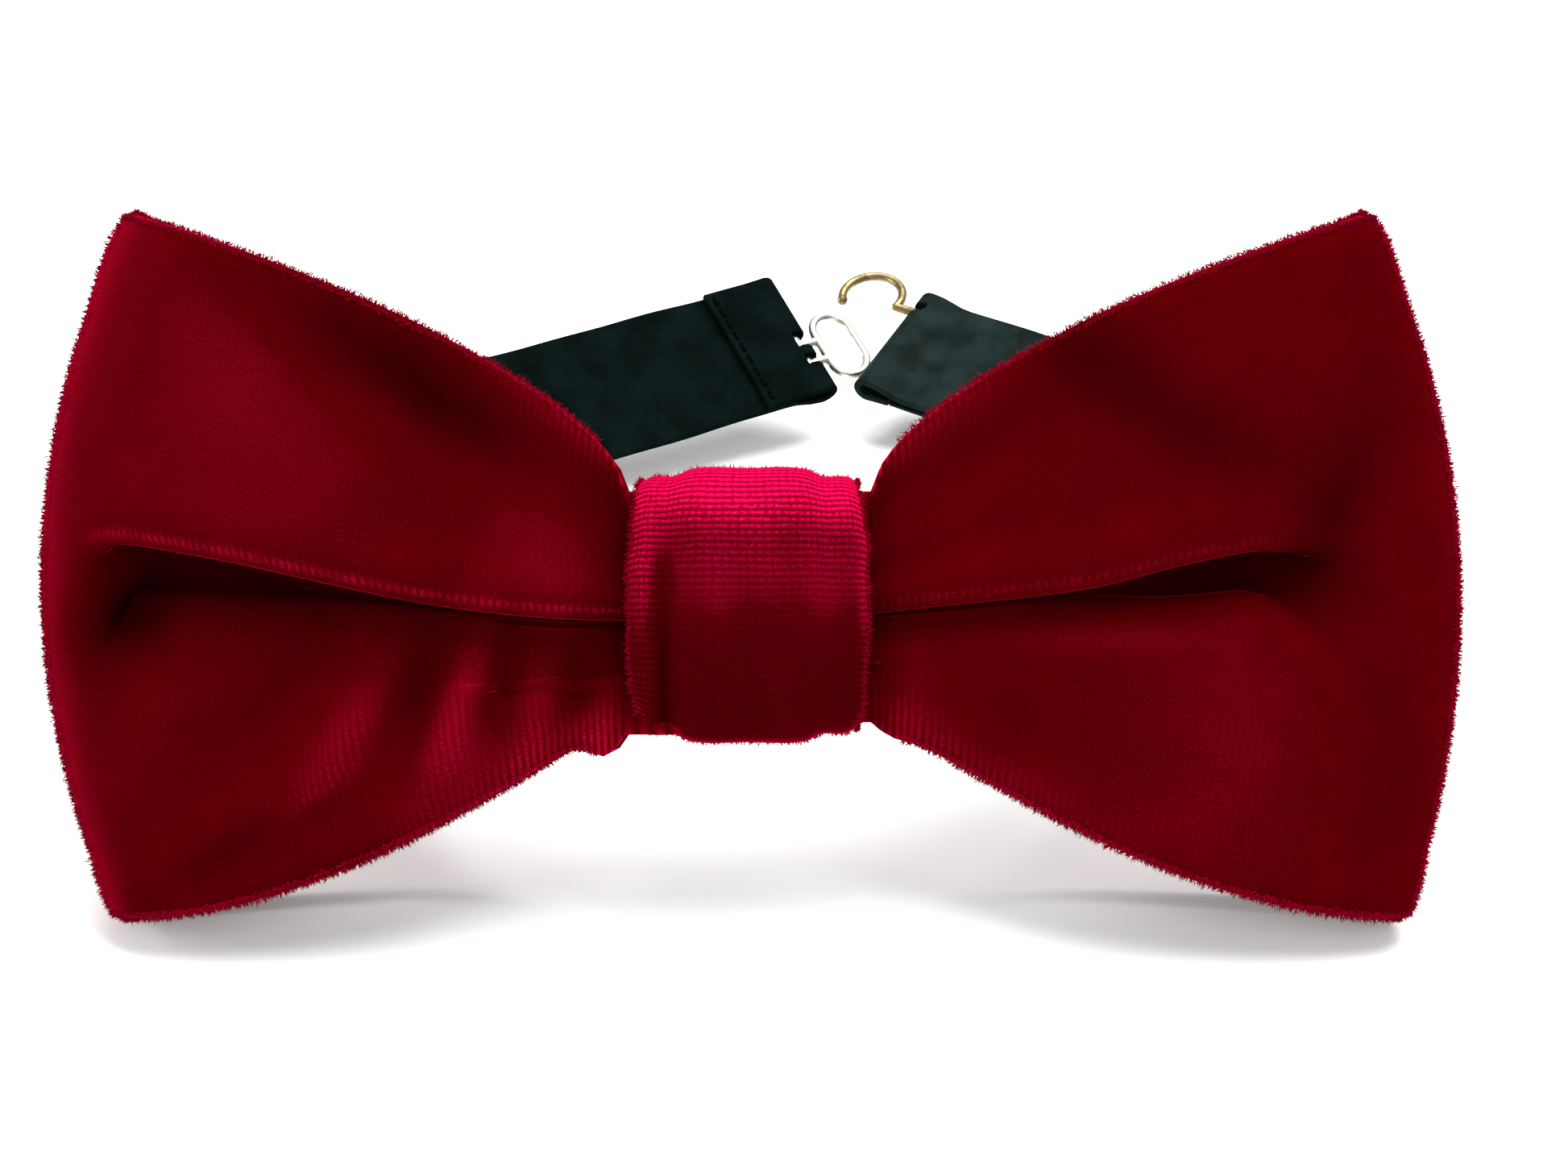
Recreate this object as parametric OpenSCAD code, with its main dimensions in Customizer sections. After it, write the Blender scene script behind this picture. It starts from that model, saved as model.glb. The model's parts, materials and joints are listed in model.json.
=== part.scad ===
// Pre-tied velvet bow tie on a hook-and-eye neck strap, resting on its lower wing corners and on its strap.
// +X runs along the bow, the front faces -Y and +Z is up. The base stands on z = 0.

/* [Bow] */
// Width of the bow across its outer folds
bow_w = 120.5; // [100:0.5:150]
// Height of the wing tips above the knot's centre
tip_rise = 33.5; // [28:0.5:42]
// Drop of the lower wing corners below the knot's centre
corner_drop = 26.4; // [21:0.2:33]
// How far the outer fold bows out past its two corners
fold_bow = 6.8; // [2:0.2:10]
// Depth of a wing loop from its front face to its back face
wing_depth = 12; // [9:0.5:15]
// Height of the gathered waist inside the knot
waist_h = 19; // [14:0.5:20]
// Depth of the gathered waist, front layers and back layers together
waist_depth = 6.4; // [5.6:0.2:8]
// Thickness of the velvet with its pile
velvet_t = 1.2; // [0.8:0.1:1.3]
// Thickness of the interlining
interlining_t = 0.6; // [0.3:0.1:0.7]
// Thickness of the lining
lining_t = 0.3; // [0.2:0.1:0.4]
// Angle that the bow leans back while it rests on its strap
lean = 32; // [20:1:38]

/* [Knot] */
// Width of the knot band along the bow
knot_w = 19.6; // [14:0.2:24]
// Thickness of the knot band
knot_t = 1; // [0.6:0.1:1.4]
// Thickness of the interfacing that backs the knot band
interfacing_t = 0.4; // [0.2:0.1:0.5]
// Radius of the knot's rounded upper and lower edges
knot_r = 2.2; // [1.8:0.1:2.4]
// Space between the gathered waist and the knot's front wall, filled by the bunched folds
knot_fill = 1.6; // [1:0.2:3]

/* [Strap] */
// Width of the neck strap
strap_w = 19; // [16:0.5:22]
// Thickness of one layer of the neck strap
strap_t = 0.9; // [0.6:0.1:1.2]
// Distance from the knot to the clasp, along the table
loop_depth = 92; // [84:1:110]
// How far the clasp lies to one side of the knot
clasp_offset = 11; // [0:1:14]
// Gap between the lower corners of the two strap ends
end_gap = 5.4; // [5:0.2:8]
// Radius of the side bends of the strap
bend_r = 22; // [15:1:24]
// Angle at which the strap leaves the back of the bow
front_turn = 33; // [28:1:38]
// Angle between each back run of the strap and the bow
back_turn = 31; // [26:1:32]
// Angle that the left back run leans outward from upright
left_lean = 58; // [45:1:62]
// Angle that the right back run leans outward from upright
right_lean = 70; // [45:1:72]
// Rise of the left back run towards the clasp, in degrees
left_rise = 3; // [0:1:5]
// Rise of the right back run towards the clasp, in degrees
right_rise = 5; // [0:1:6]
// Height of the back runs' lower edge above the table where they leave the side bends
back_lift = 3; // [2.8:0.1:5]
// Length of the turned hem at the left end
hem_len = 9; // [7:0.5:12]
// Angle that each back run can swing open
swing = 60; // [20:5:70]

/* [Clasp] */
// Radius of the hook's and the eye's wire
wire_r = 0.6; // [0.5:0.05:0.8]
// Radius of the hook's and the eye's bars in the strap's folds
bar_r = 0.75; // [0.6:0.05:0.9]
// Running clearance of a bar in its fold
bar_gap = 0.08; // [0.05:0.01:0.1]
// Radius of the hook's arch, to the wire's centre
arch_r = 4.1; // [3.5:0.1:4.6]
// Radius of the eye's rounded ends, to the wire's centre
ring_r = 2.6; // [2.4:0.1:3]
// Length of the eye's straight sides
eye_side = 4.6; // [4:0.2:5.6]
// Distance from the fold to the slider's centre bar
slider_at = 29; // [27:0.5:30]
// Travel of the fold that carries the hook
fold_travel = 4; // [2:0.5:4.5]
// Width of the slider's outer bars
slider_bar = 1.6; // [1.2:0.1:2.2]

/* [Hidden] */

// Clearance between soft pieces that lie on each other
ease = 0.1;
// Clearance between soft pieces that slide or swing past each other
play = 0.3;
thread_r = 0.22;
// Radius inside the corners of what wraps the waist
corner_r = 0.15;
DEG = PI / 180;

// ---- The bow in its own upright frame: x along the bow, y to the back, z up, knot centre at the origin

wing_start = knot_w / 2 + 0.5;
tip_x = bow_w / 2 - fold_bow;
mid_rise = (tip_rise - corner_drop) / 2;
half_rise = (tip_rise + corner_drop) / 2;
// Powers that shape the upper edge and the bluntness of the outer fold
upper_power = 0.66;
nose_power = 0.6;
// Share of the wing over which its loop opens from the waist to its full depth
open_share = 0.45;

function mix(a, b, f) = a + (b - a) * f;
function smooth(f) = f <= 0 ? 0 : f >= 1 ? 1 : f * f * (3 - 2 * f);
function edge_x(a) = tip_x + fold_bow * (1 - pow((mix(-corner_drop, tip_rise, a) - mid_rise) / half_rise, 2));
function upper_z(f) = waist_h / 2 + (tip_rise - waist_h / 2) * pow(f, upper_power);
function lower_z(f) = -waist_h / 2 - (corner_drop - waist_h / 2) * sin(90 * f);
function half_depth(f) = mix(waist_depth, wing_depth, smooth(f / open_share)) / 2;

// A point of one wing: side is -1 or 1, a runs up its height, turn runs 0 (front) to 180 (back) round the fold
function wing_point(side, a, turn, inset) =
    let (f = sin(turn), x = mix(wing_start, edge_x(a) - inset, f))
    [side * x,
     -sign(cos(turn)) * (half_depth(f) - inset) * pow(abs(cos(turn)), nose_power),
     mix(lower_z(f), upper_z(f), a)];
function waist_point(x, a, back, inset) =
    [x, back * (waist_depth / 2 - inset), mix(-waist_h / 2, waist_h / 2, a)];

wing_turns = [for (i = [0:36]) 180 * smooth(i / 36) * 0.5 + 90 * i / 36];
// One column of the strip folded into the loop, from its left end at the back to its right end
function strip_column(a, inset) = concat(
    [waist_point(-ease, a, 1, inset)],
    [for (i = [len(wing_turns) - 1:-1:0]) wing_point(-1, a, wing_turns[i], inset)],
    [for (turn = wing_turns) wing_point(1, a, turn, inset)],
    [waist_point(ease, a, 1, inset)]);
function strip(steps, inset, hem) =
    [for (i = [0:steps]) strip_column(mix(hem, 1 - hem, i / steps), inset)];

// The lowest point of the leaning bow sets how high the knot's centre stands
knot_z = max([for (p = strip_column(0, 0)) p[1] * sin(lean) - p[2] * cos(lean)]);

module in_bow() {
    translate([0, 0, knot_z] - base)
        rotate([-lean, 0, 0])
            children();
}

// A closed solid between two grids of points with the same rows and columns
module skin_between(outer, inner) {
    rows = len(outer);
    cols = len(outer[0]);
    half = rows * cols;
    function at(side, i, j) = side * half + i * cols + j;
    faces = concat(
        [for (i = [0:rows - 2]) for (j = [0:cols - 2]) for (t = [
            [at(0, i, j), at(0, i, j + 1), at(0, i + 1, j + 1)],
            [at(0, i, j), at(0, i + 1, j + 1), at(0, i + 1, j)],
            [at(1, i, j), at(1, i + 1, j + 1), at(1, i, j + 1)],
            [at(1, i, j), at(1, i + 1, j), at(1, i + 1, j + 1)]]) t],
        [for (i = [0, rows - 1]) for (j = [0:cols - 2])
            let (q = [at(0, i, j), at(1, i, j), at(1, i, j + 1), at(0, i, j + 1)],
                 w = i == 0 ? q : [q[3], q[2], q[1], q[0]])
            for (t = [[w[0], w[1], w[2]], [w[0], w[2], w[3]]]) t],
        [for (j = [0, cols - 1]) for (i = [0:rows - 2])
            let (q = [at(0, i, j), at(0, i + 1, j), at(1, i + 1, j), at(1, i, j)],
                 w = j == 0 ? q : [q[3], q[2], q[1], q[0]])
            for (t = [[w[0], w[1], w[2]], [w[0], w[2], w[3]]]) t]);
    polyhedron(points = [for (row = concat(outer, inner)) each row],
               faces = [for (t = faces) [t[0], t[2], t[1]]], convexity = 6);
}

module bow_velvet() {
    color("firebrick")
        in_bow()
            skin_between(strip(12, 0, 0), strip(12, velvet_t, 0));
}

module bow_interlining() {
    outside = velvet_t + ease;
    color("whitesmoke")
        in_bow()
            skin_between(strip(8, outside, 0.02), strip(8, outside + interlining_t, 0.02));
}

module bow_lining() {
    outside = velvet_t + interlining_t + 2 * ease;
    color("darkred")
        in_bow()
            skin_between(strip(8, outside, 0.01), strip(8, outside + lining_t, 0.01));
}

// Short straight stitches of a given length, spaced along z across the local x axis
module stitch_row(count, span, length) {
    for (i = [0:count - 1])
        translate([0, 0, mix(-span / 2, span / 2, i / (count - 1))])
            rotate([0, 90, 0])
                cylinder(r = thread_r, h = length, center = true, $fn = 16);
}

// A seam of stitches that lie end to end across the strap
seam_in = 1;
module seam(count) {
    length = 0.6 * strap_w / count;
    for (i = [0:count - 1])
        translate([0, 0, mix(-strap_w / 2 + seam_in, strap_w / 2 - seam_in - length, i / (count - 1))])
            cylinder(r = thread_r, h = length, $fn = 16);
}

module join_stitches() {
    color("darkred")
        in_bow()
            translate([0, waist_depth / 2 + thread_r, 0])
                stitch_row(7, waist_h - 5, 3);
}

// A rounded rectangle in the plane, from its low corner to its high corner
module rounded(low, high, r) {
    translate([low[0] + r, low[1]])
        square([high[0] - low[0] - 2 * r, high[1] - low[1]]);
    translate([low[0], low[1] + r])
        square([high[0] - low[0], high[1] - low[1] - 2 * r]);
    for (x = [low[0] + r, high[0] - r])
        for (y = [low[1] + r, high[1] - r])
            translate([x, y])
                circle(r = r, $fn = 48);
}

// A ring that wraps the waist along x, between a hollow and the same shape grown by its wall
module wrap(width, low, high, r, wall, outer_r) {
    rotate([90, 0, 90])
        linear_extrude(height = width, center = true)
            difference() {
                rounded([low[0] - wall, low[1] - wall], [high[0] + wall, high[1] + wall], outer_r);
                rounded(low, high, r);
            }
}

module pinch_thread() {
    turns = 4;
    pitch = 2.5 * thread_r;
    low = [-waist_depth / 2 - ease, -waist_h / 2 - ease];
    high = [waist_depth / 2 + 2 * thread_r + ease, waist_h / 2 + ease];
    color("black")
        in_bow()
            for (i = [0:turns - 1])
                translate([knot_w / 4 + i * pitch, 0, 0])
                    wrap(2 * thread_r, low, high, corner_r, 2 * thread_r, 2 * thread_r);
}

// The hollow of the knot holds the waist, the thread and the strap that passes behind them
strap_y = waist_depth / 2 + 4 * thread_r + 3 * ease + strap_t / 2;
hollow_h = max(waist_h + 4 * thread_r + 4 * ease, strap_w + 2 * ease);
hollow_low = [-waist_depth / 2 - knot_fill, -hollow_h / 2];
hollow_high = [strap_y + strap_t / 2 + ease, hollow_h / 2];
knot_back = hollow_high[0] + interfacing_t + ease + knot_t;

module knot_interfacing() {
    color("whitesmoke")
        in_bow()
            wrap(knot_w - 2, hollow_low, hollow_high, corner_r, interfacing_t, corner_r + interfacing_t);
}

knot_stitch_count = 8;
knot_stitch_span = knot_w - 3;
knot_stitch_length = 2.6;

module knot_band() {
    grow = interfacing_t + ease;
    color("crimson")
        in_bow()
            difference() {
                wrap(knot_w, [hollow_low[0] - grow, hollow_low[1] - grow],
                     [hollow_high[0] + grow, hollow_high[1] + grow], corner_r + grow, knot_t, knot_r);
                translate([0, knot_back, 0])
                    cube([knot_w + 1, 3 * knot_t, ease], center = true);
                for (i = [0:knot_stitch_count - 1])
                    translate([mix(-knot_stitch_span / 2, knot_stitch_span / 2, i / (knot_stitch_count - 1)),
                               knot_back, 0])
                        cube([2 * thread_r + 2 * ease, 4 * thread_r + 3 * ease,
                              knot_stitch_length + 2 * ease], center = true);
            }
}

module knot_stitches() {
    color("darkred")
        in_bow()
            translate([0, knot_back - thread_r - ease, 0])
                rotate([0, 90, 0])
                    stitch_row(knot_stitch_count, knot_stitch_span, knot_stitch_length);
}

// ---- The strap: a path over the table for each side, then a width direction that leans along it

tube_r = bar_r + bar_gap + strap_t;
// The hook's arch, in the plane of the strap: it leaves the neck, climbs over and opens downward
hook_neck = 2.4;
hook_z = 6.6;
arch_start = 190;
arch_end = -35;
arch_x = tube_r + hook_neck + arch_r;
arch_z = hook_z - arch_r * sin(arch_start);
strap_back = [strap_y * cos(lean), knot_z - strap_y * sin(lean)];
flat_half = knot_w / 2 + 1;
first_r = 12;
// Shares of the side bend at which the strap's lower edge comes down to the table and leaves it again
touch_share = 0.3;
lift_share = 0.6;

function heading(a) = [cos(a), sin(a)];
function arc_step(r, from, to) = r * [sin(to) - sin(from), cos(from) - cos(to)];
end_turn = 180 - back_turn;
function back_lean(side) = side > 0 ? right_lean : left_lean;
function back_rise(side) = side > 0 ? right_rise : left_rise;
// Each end stands off the clasp's centre line, more on the left because the two runs meet there
function end_of(side) = [clasp_offset * side + (side > 0 ? end_gap / 2 : -end_gap / 2) * side
                         + strap_w / 2 * sin(back_lean(side)) * sin(back_turn), loop_depth];
function leg_lengths(side) =
    let (goal = end_of(side) - [flat_half, strap_back[0]]
                - arc_step(first_r, 0, front_turn) - arc_step(bend_r, front_turn, end_turn),
         d0 = heading(front_turn),
         d1 = heading(end_turn),
         det = d0[0] * d1[1] - d0[1] * d1[0])
    [(goal[0] * d1[1] - goal[1] * d1[0]) / det, (d0[0] * goal[1] - d0[1] * goal[0]) / det];
// Lengths along the path at which each stretch ends
function stops(side) =
    let (legs = leg_lengths(side),
         s0 = flat_half,
         s1 = s0 + first_r * front_turn * DEG,
         s2 = s1 + legs[0],
         s3 = s2 + bend_r * (end_turn - front_turn) * DEG)
    [s0, s1, s2, s3, s3 + legs[1]];
// Place and heading on the table plane, for the right side; the left is its mirror image
function plan(side, s) =
    let (k = stops(side),
         p0 = [flat_half, strap_back[0]],
         p1 = p0 + arc_step(first_r, 0, front_turn),
         p2 = p1 + (k[2] - k[1]) * heading(front_turn),
         p3 = p2 + arc_step(bend_r, front_turn, end_turn),
         a1 = (s - k[0]) / first_r / DEG,
         a2 = front_turn + (s - k[2]) / bend_r / DEG)
    s < k[0] ? [[s, strap_back[0]], 0]
    : s < k[1] ? [p0 + arc_step(first_r, 0, a1), a1]
    : s < k[2] ? [p1 + (s - k[1]) * heading(front_turn), front_turn]
    : s < k[3] ? [p2 + arc_step(bend_r, front_turn, a2), a2]
    : [p3 + (s - k[3]) * heading(end_turn), end_turn];
function lean_at(side, s) =
    let (k = stops(side))
    mix(-lean, back_lean(side), smooth((s - k[0]) / (k[3] - k[0])));
function foot_at(side, s) =
    let (k = stops(side), touch = mix(k[2], k[3], touch_share), lift_off = mix(k[2], k[3], lift_share),
         start = strap_back[1] - strap_w / 2 * cos(lean) - strap_t / 2 * sin(lean))
    s > k[3] ? back_lift + (s - k[3]) * tan(back_rise(side))
    : s > touch ? back_lift * smooth((s - lift_off) / (k[3] - lift_off))
    : start * (1 - smooth((s - k[0]) / (touch - k[0])));
function unit(v) = v / norm(v);
// Centre, direction along, direction across and direction through the strap, in the part's frame
function strap_frame(side, s) =
    let (here = plan(side, s), a = here[1], t = lean_at(side, s),
         out = [sin(a), -cos(a), 0],
         rough = cos(t) * [0, 0, 1] + sin(t) * out,
         slope = s > stops(side)[3] ? tan(back_rise(side)) : 0,
         along = unit([cos(a), sin(a), slope]),
         across = unit(rough - (rough * along) * along),
         flip = [[side, 0, 0], [0, 1, 0], [0, 0, 1]],
         c = [here[0][0], here[0][1],
              foot_at(side, s) + strap_w / 2 * cos(t) + strap_t / 2 * abs(sin(t))])
    [flip * c, flip * along, flip * across, cross(flip * across, flip * along)];
function strap_point(side, s, r, k) =
    let (f = strap_frame(side, s)) f[0] + r * f[2] + k * side * f[3];

// The middle of the whole part on the table, which becomes its origin
reach = [for (side = [-1, 1]) side * max([for (i = [0:40]) for (r = [-strap_w / 2, strap_w / 2])
    side * strap_point(side, stops(side)[3] * i / 40, r, 0)[0]])];
front = min([for (a = [0, 0.1, 0.5, 1]) for (p = strip_column(a, 0)) p[1] * cos(lean) + p[2] * sin(lean)]);
back = let (f = strap_frame(1, stops(1)[4]))
    f[0][1] + f[1][1] * arch_x + f[2][1] * arch_z + arch_r * norm([f[1][1], f[2][1]]) + wire_r;
base = [(reach[0] + reach[1]) / 2, (front + back) / 2, 0];

function end_s(side) = stops(side)[4];
function bend_s(side) = stops(side)[3];
// The ends that meet at a side bend are cut back above the swing's axis so that they never cross
split_gap = 0.5;
function cut_back(side, r) = split_gap + max(0, r) * sin(back_lean(side)) * tan(swing / 2) * 1.15;
// Rows across the strap, with one at its centre line where the cut begins
rows_across = [-strap_w / 2, 0, strap_w / 4, strap_w / 2];
function sheet(side, from, to, k, steps) =
    [for (r = rows_across) [for (i = [0:steps])
        strap_point(side, mix(from + cut_back(side, r), to, i / steps), r, k)]];

// A length of strap on one side, between two distances along it
module strap_run(side, from, to, low, high, steps) {
    near = sheet(side, from, to, low, steps);
    far = sheet(side, from, to, high, steps);
    translate(-base)
        skin_between(side > 0 ? near : far, side > 0 ? far : near);
}

module strap_front() {
    steps = 40;
    function row(r, k) = concat(
        [for (i = [steps:-1:1]) strap_point(-1, (bend_s(-1) - cut_back(-1, r)) * i / steps, r, k)],
        [for (i = [0:steps]) strap_point(1, (bend_s(1) - cut_back(1, r)) * i / steps, r, k)]);
    color("black")
        translate(-base)
            skin_between([for (r = rows_across) row(r, -strap_t / 2)],
                         [for (r = rows_across) row(r, strap_t / 2)]);
}

// Children drawn with x along the strap towards the clasp, y towards the loop's inside and z across it
module on_strap(side, s) {
    f = strap_frame(side, s);
    translate(-base)
        multmatrix([[f[1][0], f[3][0], f[2][0], f[0][0]],
                    [f[1][1], f[3][1], f[2][1], f[0][1]],
                    [f[1][2], f[3][2], f[2][2], f[0][2]],
                    [0, 0, 0, 1]])
            children();
}

// Parts of the strap's ends that the eye's and the hook's necks pass through
eye_z = -2.8;
eye_neck = 1.5;
window_gap = 0.5;

// The rolled end of the strap round a bar, with a window for the necks
module rolled_end(window_low, window_high) {
    difference() {
        cylinder(r = tube_r, h = strap_w, center = true, $fn = 48);
        cylinder(r = bar_r + bar_gap, h = strap_w + 1, center = true, $fn = 48);
        translate([0, -2 * tube_r, window_low])
            cube([2 * tube_r, 4 * tube_r, window_high - window_low]);
    }
}

// A bar in a rolled end
module bar(low, high) {
    translate([0, 0, low])
        cylinder(r = bar_r, h = high - low, $fn = 32);
}

module wire_to(from, to, r) {
    step = to - from;
    translate(from)
        rotate([0, acos(step[2] / norm(step)), atan2(step[1], step[0])])
            cylinder(r = r, h = norm(step), $fn = 24);
}

module strap_left() {
    color("black")
        strap_run(-1, bend_s(-1), end_s(-1) - tube_r - ease / 2, -strap_t / 2, strap_t / 2, 6);
}

module left_hem() {
    color("black")
        on_strap(-1, end_s(-1)) {
            rolled_end(eye_z - eye_neck - wire_r - window_gap, eye_z + eye_neck + wire_r + window_gap);
            translate([-hem_len, -strap_t * 1.5 - ease, -strap_w / 2])
                cube([hem_len - tube_r * 0.8, strap_t, strap_w]);
        }
}

module left_hem_stitches() {
    color("dimgray")
        on_strap(-1, end_s(-1))
            translate([-hem_len + seam_in, -strap_t * 1.5 - ease - thread_r, 0])
                seam(9);
}

eye_x = tube_r + 0.8 + wire_r + ring_r;

module eye() {
    color("silver")
        on_strap(-1, end_s(-1)) {
            bar(-strap_w / 2 + 1.5, strap_w / 2 - 1.5);
            for (z = [eye_z - eye_neck, eye_z + eye_neck])
                wire_to([0, 0, z], [eye_x - ring_r, 0, z], wire_r);
            for (x = [eye_x - ring_r, eye_x + ring_r])
                wire_to([x, 0, eye_z - eye_side / 2], [x, 0, eye_z + eye_side / 2], wire_r);
            for (end = [-1, 1])
                translate([eye_x, 0, eye_z + end * eye_side / 2])
                    rotate([90, 0, 0])
                        rotate([0, 0, end > 0 ? 0 : 180])
                            rotate_extrude(angle = 180, $fn = 64)
                                translate([ring_r, 0])
                                    circle(r = wire_r, $fn = 24);
        }
}

lap = 8;
module strap_right() {
    color("black")
        strap_run(1, bend_s(1), end_s(1) - tube_r - fold_travel - play, -strap_t / 2, strap_t / 2, 6);
}

layer_t = 0.6;
layer_y = strap_t / 2 + play;

module fold_sleeve() {
    color("black")
        on_strap(1, end_s(1)) {
            rolled_end(hook_z - wire_r - window_gap, hook_z + wire_r + window_gap);
            translate([-lap - fold_travel, layer_y, -strap_w / 2])
                cube([lap + fold_travel - tube_r * 0.8, layer_t, strap_w]);
        }
}

module return_layer() {
    color("black")
        on_strap(1, end_s(1))
            translate([-slider_at + loop_r + play, -layer_y - layer_t, -strap_w / 2])
                cube([slider_at - loop_r - play - tube_r, layer_t, strap_w]);
}

module fold_stitches() {
    color("dimgray")
        on_strap(1, end_s(1))
            translate([-tube_r - seam_in, layer_y + layer_t + thread_r, 0])
                seam(9);
}

// Slider: a centre bar behind the strap, two outer bars in front of it and a rail past each edge
rail_t = 1.4;
slider_half = 4.4;
centre_r = 0.6;
loop_wall = 0.5;
loop_r = centre_r + bar_gap + loop_wall;
centre_y = -layer_y - loop_r;
rail_gap = 0.5;

module slider() {
    rail_z = strap_w / 2 + rail_gap;
    front_y = strap_t / 2 + play;
    color("silver")
        on_strap(1, end_s(1) - slider_at) {
            for (z = [-rail_z - rail_t, rail_z])
                translate([-slider_half, centre_y - centre_r, z])
                    cube([2 * slider_half, front_y + slider_bar * 0.6 - centre_y + centre_r, rail_t]);
            for (x = [-slider_half, slider_half - slider_bar])
                translate([x, front_y, -rail_z - rail_t / 2])
                    cube([slider_bar, slider_bar * 0.6, 2 * rail_z + rail_t]);
            translate([0, centre_y, -rail_z - rail_t / 2])
                cylinder(r = centre_r, h = 2 * rail_z + rail_t, $fn = 32);
        }
}

module slider_loop() {
    color("black")
        on_strap(1, end_s(1) - slider_at)
            translate([0, centre_y, 0])
                difference() {
                    cylinder(r = loop_r, h = strap_w, center = true, $fn = 32);
                    cylinder(r = centre_r + bar_gap, h = strap_w + 1, center = true, $fn = 32);
                }
}

module slider_stitches() {
    color("dimgray")
        on_strap(1, end_s(1) - slider_at)
            translate([0, centre_y - loop_r - thread_r, 0])
                seam(7);
}

module hook() {
    color("peru")
        on_strap(1, end_s(1)) {
            bar(-strap_w / 2 + 5, strap_w / 2 - 0.6);
            wire_to([0, 0, hook_z], [arch_x + arch_r * cos(arch_start), 0, hook_z], wire_r);
            translate([arch_x, 0, arch_z])
                rotate([90, 0, 0])
                    rotate([0, 0, arch_end])
                        rotate_extrude(angle = arch_start - arch_end, $fn = 64)
                            translate([arch_r, 0])
                                circle(r = wire_r, $fn = 24);
            for (a = [arch_start, arch_end])
                translate([arch_x + arch_r * cos(a), 0, arch_z + arch_r * sin(a)])
                    sphere(r = a == arch_end ? wire_r * 1.2 : wire_r, $fn = 24);
        }
}

bow_velvet();
bow_interlining();
bow_lining();
join_stitches();
pinch_thread();
knot_band();
knot_interfacing();
knot_stitches();
strap_front();
strap_left();
left_hem();
left_hem_stitches();
eye();
strap_right();
fold_sleeve();
return_layer();
fold_stitches();
slider();
slider_loop();
slider_stitches();
hook();
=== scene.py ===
"""Looks of a pre-tied velvet bow tie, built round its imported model.

Lengths in this file are in millimetres unless their name ends in _m.
"""

from __future__ import annotations

import json
import logging
import math
from dataclasses import dataclass, field
from enum import Enum
from typing import Callable, Sequence

import bpy
import numpy as np
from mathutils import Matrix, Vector


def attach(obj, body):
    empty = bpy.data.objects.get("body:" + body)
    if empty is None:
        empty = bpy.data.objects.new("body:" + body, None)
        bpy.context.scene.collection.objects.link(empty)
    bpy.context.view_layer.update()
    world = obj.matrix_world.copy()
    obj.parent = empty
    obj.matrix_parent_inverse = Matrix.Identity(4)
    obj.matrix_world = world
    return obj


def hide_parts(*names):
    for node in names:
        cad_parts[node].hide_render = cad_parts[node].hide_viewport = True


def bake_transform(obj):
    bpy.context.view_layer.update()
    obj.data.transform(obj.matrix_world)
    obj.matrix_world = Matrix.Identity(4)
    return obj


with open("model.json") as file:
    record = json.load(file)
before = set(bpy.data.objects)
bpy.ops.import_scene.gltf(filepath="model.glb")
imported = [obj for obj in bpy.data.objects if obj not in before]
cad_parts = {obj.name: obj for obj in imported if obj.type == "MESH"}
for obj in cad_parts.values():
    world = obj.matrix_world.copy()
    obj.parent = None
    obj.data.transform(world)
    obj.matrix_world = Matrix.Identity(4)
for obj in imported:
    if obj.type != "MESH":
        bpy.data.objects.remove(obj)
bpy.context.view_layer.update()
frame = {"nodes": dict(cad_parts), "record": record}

LOG = logging.getLogger("bow_tie")
MM = 0.001
Colour = tuple[float, float, float, float]
Array = np.ndarray


class Side(Enum):
    """The two sides of the bow, as seen from its front."""

    LEFT = -1
    RIGHT = 1


# ---- Small helpers for shape


def smooth(f: Array) -> Array:
    """Rises from 0 to 1 with a flat start and a flat end."""
    f = np.clip(f, 0.0, 1.0)
    return f * f * (3 - 2 * f)


def mix(a: Array | float, b: Array | float, f: Array | float) -> Array | float:
    """Goes from a to b as f goes from 0 to 1."""
    return a + (b - a) * f


def hill(x: Array, centre: Array | float, width: Array | float) -> Array:
    """A bell of height 1 round a centre."""
    return np.exp(-(((x - centre) / width) ** 2))


def spline(knots: Sequence[float], values: Sequence[Array], at: Array) -> Array:
    """Reads a smooth curve through control values that may differ at every point.

    Args:
        knots: Rising places of the control values, from 0 to 1.
        values: One array of the points' own values for each knot.
        at: Where each point reads the curve.

    Returns:
        The curve's value at every point.
    """
    places = np.asarray(knots)
    held = np.stack([np.broadcast_to(v, at.shape) for v in values])
    slopes = np.zeros_like(held)
    gaps = np.diff(places)[:, None]
    rises = np.diff(held, axis=0) / gaps
    slopes[1:-1] = (rises[:-1] * gaps[1:] + rises[1:] * gaps[:-1]) / (gaps[1:] + gaps[:-1])
    slopes[0], slopes[-1] = rises[0], rises[-1]
    i = np.clip(np.searchsorted(places, at, side="right") - 1, 0, len(places) - 2)
    n = np.arange(at.size)
    gap = places[i + 1] - places[i]
    t = (at - places[i]) / gap
    a, b = held[i, n], held[i + 1, n]
    da, db = slopes[i, n] * gap, slopes[i + 1, n] * gap
    return (
        (2 * t**3 - 3 * t**2 + 1) * a
        + (t**3 - 2 * t**2 + t) * da
        + (3 * t**2 - 2 * t**3) * b
        + (t**3 - t**2) * db
    )


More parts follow.
